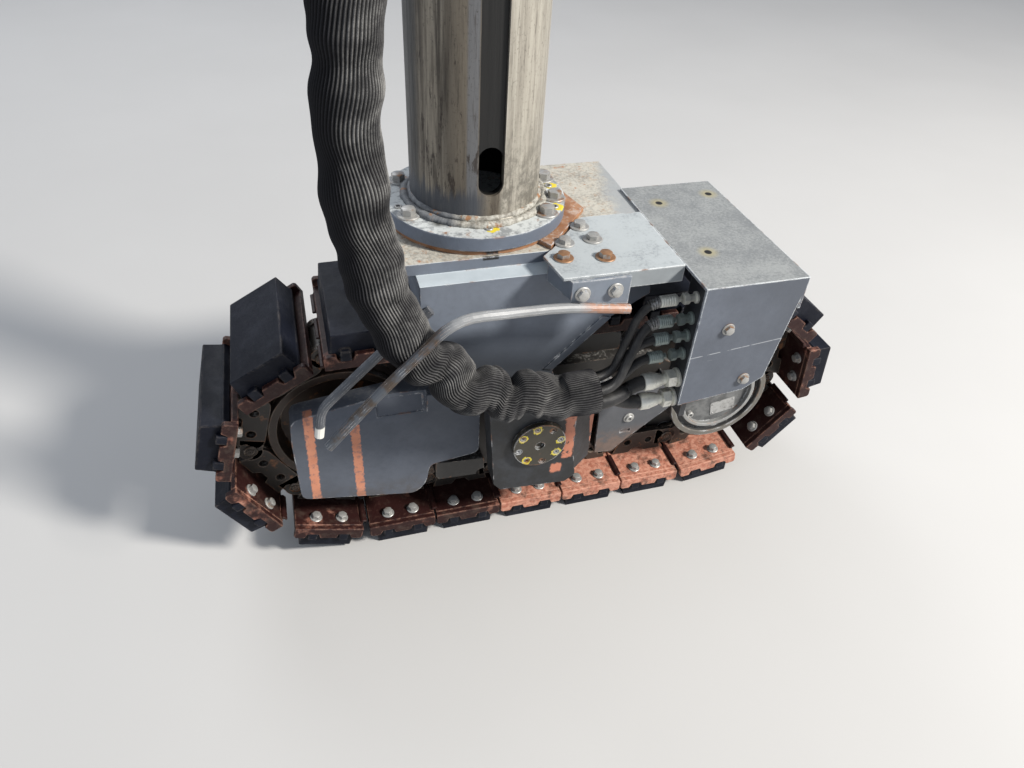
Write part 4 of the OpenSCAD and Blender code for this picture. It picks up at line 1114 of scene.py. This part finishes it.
def drive_marks(f, paint):
    radius = f.away((drive_x, 0.0, drive_z), f.stretched(1, 0, 1))
    near = f.step(f.xyz["y"], -0.10, -0.11)
    face = f.both(f.step(radius, 0.0755, 0.0745), near, 0.9)
    cast = f.mix(f.step(f.grain(26, 6, 0.7), 0.40, 0.62), (0.075, 0.077, 0.078), (0.155, 0.158, 0.157))
    paint = f.mix(face, paint, cast)
    ring = f.both(f.step(radius, 0.0750, 0.0765), f.step(radius, 0.0855, 0.0845), near, 0.9)
    paint = f.mix(ring, paint, f.mix(f.grain(40, 5), (0.18, 0.18, 0.175), (0.34, 0.34, 0.325)))
    outer = f.both(f.step(radius, 0.0950, 0.0962), f.step(f.xyz["y"], -0.124, -0.128))
    return f.mix(f.both(outer, 0.9), paint, f.mix(f.grain(40, 5), (0.085, 0.075, 0.062), (0.17, 0.16, 0.14)))


drive_paint = weathered_paint("drive_casing_finish", (0.045, 0.045, 0.046), dusty=0.1, rusty=0.10,
                              rubbed=0.6, more=drive_marks)
dress("drive_casing", drive_paint, 0.0015)
gearbox_paint = weathered_paint("dark_grey_finish", (0.062, 0.066, 0.074), dusty=0.2, rusty=0.2)
dress("gearbox_cover", gearbox_paint, 0.002)


def guard_marks(f, paint):
    low = f.both(f.step(f.xyz["z"], -0.955, -1.0), f.step(f.grain(30, 6, 0.7), 0.36, 0.55))
    return f.mix(f.both(low, 0.75), paint, f.mix(f.grain(60, 5), (0.085, 0.055, 0.040), (0.20, 0.13, 0.10)))


guard_paint = weathered_paint("drive_guard_finish", (0.075, 0.078, 0.086), dusty=0.2, rusty=0.15,
                              more=guard_marks)
dress("drive_guard_near", guard_paint, 0.0015)
dress("drive_guard_far", guard_paint, 0.0015)
guard_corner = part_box("drive_guard_near")[0]
screw_x, screw_z, screw_in = guard_corner.x + 0.070, drive_z - 0.015, 0.0025
guard_washer = moved(on_axis([(0.0118, 0), (0.0118, 0.0016), (0.0108, 0.0024), (0.0086, 0.0024)], 32),
                     pointing((screw_x, guard_corner.y, screw_z), (0, -1, 0)))
guard_head = socket_screw((screw_x, guard_corner.y + screw_in, screw_z), (0, -1, 0), 0.0078, 0.0085)
piece("guard_screw", joined(guard_washer, guard_head), "track", pale_bolt, smooth_to=30)
piece("drive_face_screw", socket_screw((0.4520, drive_face, -0.9690), (0, -1, 0), 0.0072, 0.0085),
      "track", pale_bolt, smooth_to=30)


def rating_plate(half_w, half_h, thick, corner):
    """A thin plate with cut corners on Z, and the four rivets that hold it"""
    outline = [(-half_w + corner, -half_h), (half_w - corner, -half_h), (half_w, -half_h + corner),
               (half_w, half_h - corner), (half_w - corner, half_h), (-half_w + corner, half_h),
               (-half_w, half_h - corner), (-half_w, -half_h + corner)]
    n = len(outline)
    points = [Vector((x, y, z)) for z in (0.0, thick) for x, y in outline]
    faces = [*band(0, n, n), tuple(range(n)), tuple(range(n, 2 * n))]
    rivets = [moved(on_axis([(0.0021, 0), (0.0019, 0.0008), (0.0010, 0.0014)], 16),
                    Matrix.Translation((x * (half_w - 0.0045), y * (half_h - 0.0045), thick)))
              for x in (-1, 1) for y in (-1, 1)]
    return joined((points, faces), *rivets)


plate_metal = zinc_finish("rating_plate_finish", rust=0.0, tone=0.50, tint=(1, 1, 0.98), dirt=0.45)
piece("rating_plate", moved(rating_plate(0.028, 0.017, 0.0012, 0.002),
                            pointing((drive_x + 0.024, drive_face, drive_z - 0.038), (0, -1, 0),
                                     math.radians(11))),
      "track", plate_metal, smooth_to=30)


# Idler, rollers and sprocket: cast and forged steel, brown with rust and dirt. Their axles end in
# turned caps.
for node in ("idler_axle", "roller_axles", "sprocket"):
    dress(node, dark_steel)
rusty_steel = weathered_paint("rusty_steel_finish", (0.052, 0.034, 0.024), dusty=0.2, rusty=0.5, rubbed=0.9,
                              rubbed_to=(0.24, 0.19, 0.15))
for node in ("idler", "rollers"):
    dress(node, rusty_steel)
axle_low, axle_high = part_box("roller_axles")
roller_axle_r, rollers = 0.012, 5
first_roller, last_roller = axle_low.x + roller_axle_r, axle_high.x - roller_axle_r
roller_places = [first_roller + (last_roller - first_roller) * i / (rollers - 1) for i in range(rollers)]
roller_z = (axle_low.z + axle_high.z) / 2
piece("roller_caps", joined(*[
    moved(on_axis([(0.0140, 0), (0.0140, 0.0045), (0.0125, 0.0065), (0.0060, 0.0072), (0.0050, 0.0060)], 28),
          pointing((x, side * (axle_high.y - 0.0005), roller_z), (0, side, 0)))
    for x in roller_places for side in (-1, 1)]), "track", rusty_steel, smooth_to=30)


# Track loop: nineteen links on pins, each with a pressed steel shoe and a polyurethane pad.
# The pin line runs straight below and above and round the idler and the sprocket.

# Pitch of the chain, its links, the pitches round each wheel, and the place of the first pin in pitches
pitch, links, wheel_pitches, pin_phase = 0.140, 19, 8, 0.15
wrap_r = wheel_pitches * pitch / (2 * math.pi)
idler_low, idler_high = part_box("idler")
axle_z = (idler_low.z + idler_high.z) / 2
idler_x = (idler_low.x + idler_high.x) / 2
wheelbase = (links * pitch - 2 * math.pi * wrap_r) / 2
sprocket_x = idler_x + wheelbase


def on_loop(s):
    """The point of the pin line at a length s from the start of its lower run"""
    s %= links * pitch
    half_turn = math.pi * wrap_r
    if s < wheelbase:
        return Vector((idler_x + s, 0, axle_z - wrap_r))
    if s < wheelbase + half_turn:
        a = (s - wheelbase) / wrap_r
        return Vector((sprocket_x + wrap_r * math.sin(a), 0, axle_z - wrap_r * math.cos(a)))
    if s < 2 * wheelbase + half_turn:
        return Vector((sprocket_x - (s - wheelbase - half_turn), 0, axle_z + wrap_r))
    a = (s - 2 * wheelbase - half_turn) / wrap_r
    return Vector((idler_x - wrap_r * math.sin(a), 0, axle_z + wrap_r * math.cos(a)))


def at_link(i):
    """Place of link i: X along it, Y to the near side, Z to the outside of the loop"""
    a, b = on_loop((i + pin_phase) * pitch), on_loop((i + 1 + pin_phase) * pitch)
    x = (b - a).normalized()
    z = Vector((x.z, 0, -x.x))
    y = z.cross(x)
    return Matrix.Translation((a + b) / 2) @ Matrix((x, y, z)).transposed().to_4x4()


# Shoes: a steel plate on each link, with its two ends turned down and cut out like a comb.
# They were painted dark red, and the paint is worn to pale rust on the edges.

# Half the track's width, the plate's thickness, how far its ends turn down, the gap to the next shoe, and
# the height of the plate's inner face over the pin line
track_half, shoe_t, shoe_lip, shoe_gap, link_out = 0.130, 0.012, 0.027, 0.0035, 0.035


def shoe_finish():
    f = Finish("shoe_paint_finish")
    # Worn paint together with painted light and shade, one value for each shoe
    wear_and_light = f.add("Attribute", attribute_name="wear_and_light").outputs["Fac"]
    clouds = f.grain(16, 6, 0.65)
    fine = f.grain(110, 6, 0.7)
    paint = f.mix(clouds, (0.010, 0.0032, 0.0030), (0.030, 0.0070, 0.0058))
    bare = f.mix(f.step(fine, 0.35, 0.65), (0.34, 0.125, 0.080), (0.52, 0.26, 0.185))
    outer_edge = f.step(f.from_middle("y"), track_half - 0.017, track_half - 0.012)
    scraped = f.both(outer_edge, f.grain(20, 5, 0.7), 0.12)
    rubbed = f.step(f.added(clouds, f.both(wear_and_light, 0.55), scraped), 0.72, 0.92)
    colour = f.mix(rubbed, paint, bare)
    edge = f.both(f.edges(0.0035), f.step(f.grain(60, 5, 0.7), 0.40, 0.60), f.scaled(wear_and_light, 0.35, 1.05))
    colour = f.mix(edge, colour, (0.50, 0.26, 0.18))
    dirt = f.step(f.grain(30, 7, 0.72), 0.50, 0.66)
    colour = f.mix(f.both(dirt, 0.75), colour, (0.050, 0.032, 0.025))
    colour = f.mix(f.both(f.step(f.grain(150, 4, 0.7), 0.56, 0.66), 0.5), colour, (0.060, 0.030, 0.022))
    f.set(Base_Color=colour, Roughness=f.scaled(fine, 0.40, 0.65), Specular_IOR_Level=0.28)
    f.bump(f.added(fine, clouds), 0.0007)
    return f.material


def pressed(outline, low, high):
    """A plate cut to an outline of (x, z), from low to high across the track"""
    n = len(outline)
    points = [Vector((x, y, z)) for y in (low, high) for x, z in outline]
    return points, [*band(0, n, n), tuple(range(n)), tuple(n + i for i in range(n))]


def arc(cx, cz, r, start, end, steps):
    """Points on a circle, from one angle to another"""
    turns = [math.radians(start + (end - start) * k / (steps - 1)) for k in range(steps)]
    return [(cx + r * math.cos(turn), cz + r * math.sin(turn)) for turn in turns]


def shoe_plate():
    """The shoe, and how many of its points belong to its plate and combs"""
    half = (pitch - shoe_gap) / 2
    tip = link_out + shoe_lip
    notch = tip - 0.011
    plate = pressed([(-half, link_out), (half, link_out), (half, link_out + shoe_t),
                     (-half, link_out + shoe_t)], shoe_t - track_half, track_half - shoe_t)
    comb = [(-half, link_out), (-half, tip - 0.004), (-half + 0.004, tip), (-0.047, tip), (-0.042, notch),
            (-0.020, notch), (-0.016, tip), (0.016, tip), (0.020, notch), (0.042, notch), (0.047, tip),
            (half - 0.004, tip), (half, tip - 0.004), (half, link_out)]
    # One edge is rolled round the pin and laps under the next shoe, so that no stone gets through
    rolled = [*arc(pitch / 2, 0, 0.0290, 96, 80, 5), *arc(pitch / 2, 0, 0.0335, 80, 90, 4),
              (half, link_out + 0.004), (half - 0.005, link_out + 0.004), (half - 0.005, link_out - 0.003)]
    laps = [pressed(rolled, low, high) for low, high in ((-0.112, -0.051), (-0.030, 0.030), (0.051, 0.112))]
    body = joined(plate, pressed(comb, -track_half, -track_half + shoe_t),
                  pressed(comb, track_half - shoe_t, track_half))
    return joined(body, *laps), len(body[0])


one_shoe, shoe_body_points = shoe_plate()
shoe_plates = piece("shoe_plates", joined(*[moved(one_shoe, at_link(i)) for i in range(links)]),
                    "track", shoe_finish(), ["shoes"], rounding=0.0018)
# The shoes on the ground are worn bare and lightened as painted sunlight towards the drive, and darker away
# from it as painted shade. The shoes on the upper run are kept dark as painted shade, and the laps keep their
# paint.
draw = random.Random(11)
lap_wear, wear_and_light_values = -0.6, []
for i in range(links):
    where = at_link(i).translation
    on_ground = where.z < axle_z - wrap_r * 0.9
    # Share of worn paint and painted light for this shoe
    worn = 0.10 + 0.75 * eased(where.x, -0.08, 0.22) if on_ground else 0.15
    worn += draw.uniform(-0.1, 0.15)
    wear_and_light_values += [worn] * shoe_body_points + [lap_wear] * (len(one_shoe[0]) - shoe_body_points)
keep_values(shoe_plates, "wear_and_light", wear_and_light_values)

shoe_bolt_x, shoe_bolt_y = (-0.026, 0.026), (-0.098, 0.098)
piece("shoe_bolts", joined(*[
    screw(at_link(i) @ Vector((x, y, link_out)), at_link(i).to_3x3() @ Vector((0, 0, -1)), 0.0092, 0.0085,
          draw.uniform(0, 1), 1.35)
    for i in range(links) for x in shoe_bolt_x for y in shoe_bolt_y]),
    "track", zinc_bolt, smooth_to=30)


# Pads: chamfered blocks of black polyurethane, one screwed on the outside of each shoe. Lugs at their
# ends fill the gaps of the comb.
pad_t, pad_gap = 0.050, 0.022  # thickness, and gap to the next pad


def pad_finish():
    f = Finish("pad_rubber_finish")
    scuffs = f.grain(1, 6, 0.7, f.stretched(30, 30, 140))
    dust = f.grain(18, 7, 0.65)
    colour = f.mix(f.step(dust, 0.45, 0.75), (0.0038, 0.0050, 0.0105), (0.016, 0.018, 0.026))
    worn = f.both(f.edges(0.005), f.step(scuffs, 0.45, 0.62), 0.7)
    f.set(Base_Color=f.mix(worn, colour, (0.085, 0.075, 0.068)), Roughness=f.scaled(scuffs, 0.42, 0.72),
          Specular_IOR_Level=0.18)
    f.bump(f.added(scuffs, dust), 0.0008)
    return f.material


def pad_block():
    half, w = (pitch - pad_gap) / 2, track_half - shoe_t - 0.0005
    z0, z1 = link_out + shoe_t + 0.0005, link_out + shoe_t + pad_t
    block = pressed([(-half + 0.005, z0), (half - 0.005, z0), (half, z0 + 0.012), (half - 0.003, z0 + 0.016),
                     (half - 0.007, z1), (-half + 0.007, z1), (-half + 0.003, z0 + 0.016),
                     (-half, z0 + 0.012)], -w, w)
    lugs = [pressed([(x - 0.010, z0), (x + 0.010, z0), (x + 0.009, z0 + 0.022), (x - 0.009, z0 + 0.022)],
                    s * w, s * (track_half - 0.001)) for x in (-0.031, 0.031) for s in (-1, 1)]
    return joined(block, *lugs)


one_pad = pad_block()
piece("track_pads", joined(*[moved(one_pad, at_link(i)) for i in range(links)]),
      "track", pad_finish(), ["pads"], rounding=0.0022)


# Chain: forged link plates, half-lapped at the pins, on turned pins and bushes. They are bare
# steel, brown with dirt, with two holes in each plate.

# Inner face of a plate from the middle of the track, its thickness, its reach inside the pin line, and
# the radius of the pins
link_y, link_t, link_in, pin_r = 0.033, 0.015, 0.024, 0.013


def drilled(outline, holes, low, high):
    """A plate in the XZ plane with round holes through it"""
    loops = [outline, *[arc(x, z, r, 0, 345, 24) for x, z, r in holes]]
    flat = [[Vector((a, b, 0)) for a, b in loop] for loop in loops]
    every = [p for loop in flat for p in loop]
    triangles = tessellate_polygon(flat)
    n = len(every)
    points = [Vector((p.x, h, p.y)) for h in (low, high) for p in every]
    faces = [tuple(t) for t in triangles] + [tuple(n + i for i in reversed(t)) for t in triangles]
    start = 0
    for loop in loops:
        faces += band(start, n + start, len(loop))
        start += len(loop)
    return points, faces


def link_plate(side_sign):
    """Body of the link between its two bosses, and the bosses, which lap with the next link's"""
    body = [*arc(-0.040, 0.0, link_in, 200, 270, 4), *arc(0.040, 0.0, link_in, 270, 340, 4),
            (0.052, 0.010), (0.060, link_out), (0.018, link_out), (0.010, link_out - 0.012),
            (-0.010, link_out - 0.012), (-0.018, link_out), (-0.060, link_out), (-0.052, 0.010)]
    y0, y1, lap = link_y, link_y + link_t, link_y + link_t / 2
    boss = 0.0225
    left = [*arc(-pitch / 2, 0, boss, 70, 290, 18), (-0.042, -boss), (-0.042, boss)]
    right = [*arc(pitch / 2, 0, boss, -110, 110, 18), (0.042, boss), (0.042, -boss)]
    parts = [drilled(body, [(-0.026, 0.004, 0.0085), (0.026, 0.004, 0.0085)], y0, y1),
             pressed(left, y0, lap - 0.0003), pressed(right, lap + 0.0003, y1)]
    whole = joined(*parts)
    return [Vector((p.x, p.y * side_sign, p.z)) for p in whole[0]], whole[1]


def link_pin():
    long = link_y + link_t + 0.004
    end = [(0.001, long), (0.006, long), (0.006, long - 0.002), (pin_r - 0.002, long - 0.002),
           (pin_r - 0.002, long), (pin_r, long - 0.002)]
    pin = [*((r, -y) for r, y in end), *reversed(end)]
    bush = [(pin_r, -link_y), (pin_r + 0.005, -link_y), (pin_r + 0.005, link_y), (pin_r, link_y)]
    return joined(turned(pin, (0, 0, 0), "y", 24), turned(bush, (0, 0, 0), "y", 24))


chain_steel = weathered_paint("chain_steel_finish", (0.034, 0.028, 0.023), dusty=0.2, rusty=0.40, rubbed=0.9,
                              rubbed_to=(0.22, 0.17, 0.13))
link_pair = joined(link_plate(1), link_plate(-1))
piece("chain_links", joined(*[moved(link_pair, at_link(i)) for i in range(links)]),
      "track", chain_steel, ["chain"], rounding=0.001)
one_pin = link_pin()
piece("chain_pins", joined(*[moved(one_pin, Matrix.Translation(on_loop((i + pin_phase) * pitch)))
                             for i in range(links)]),
      "track", chain_steel, smooth_to=35)
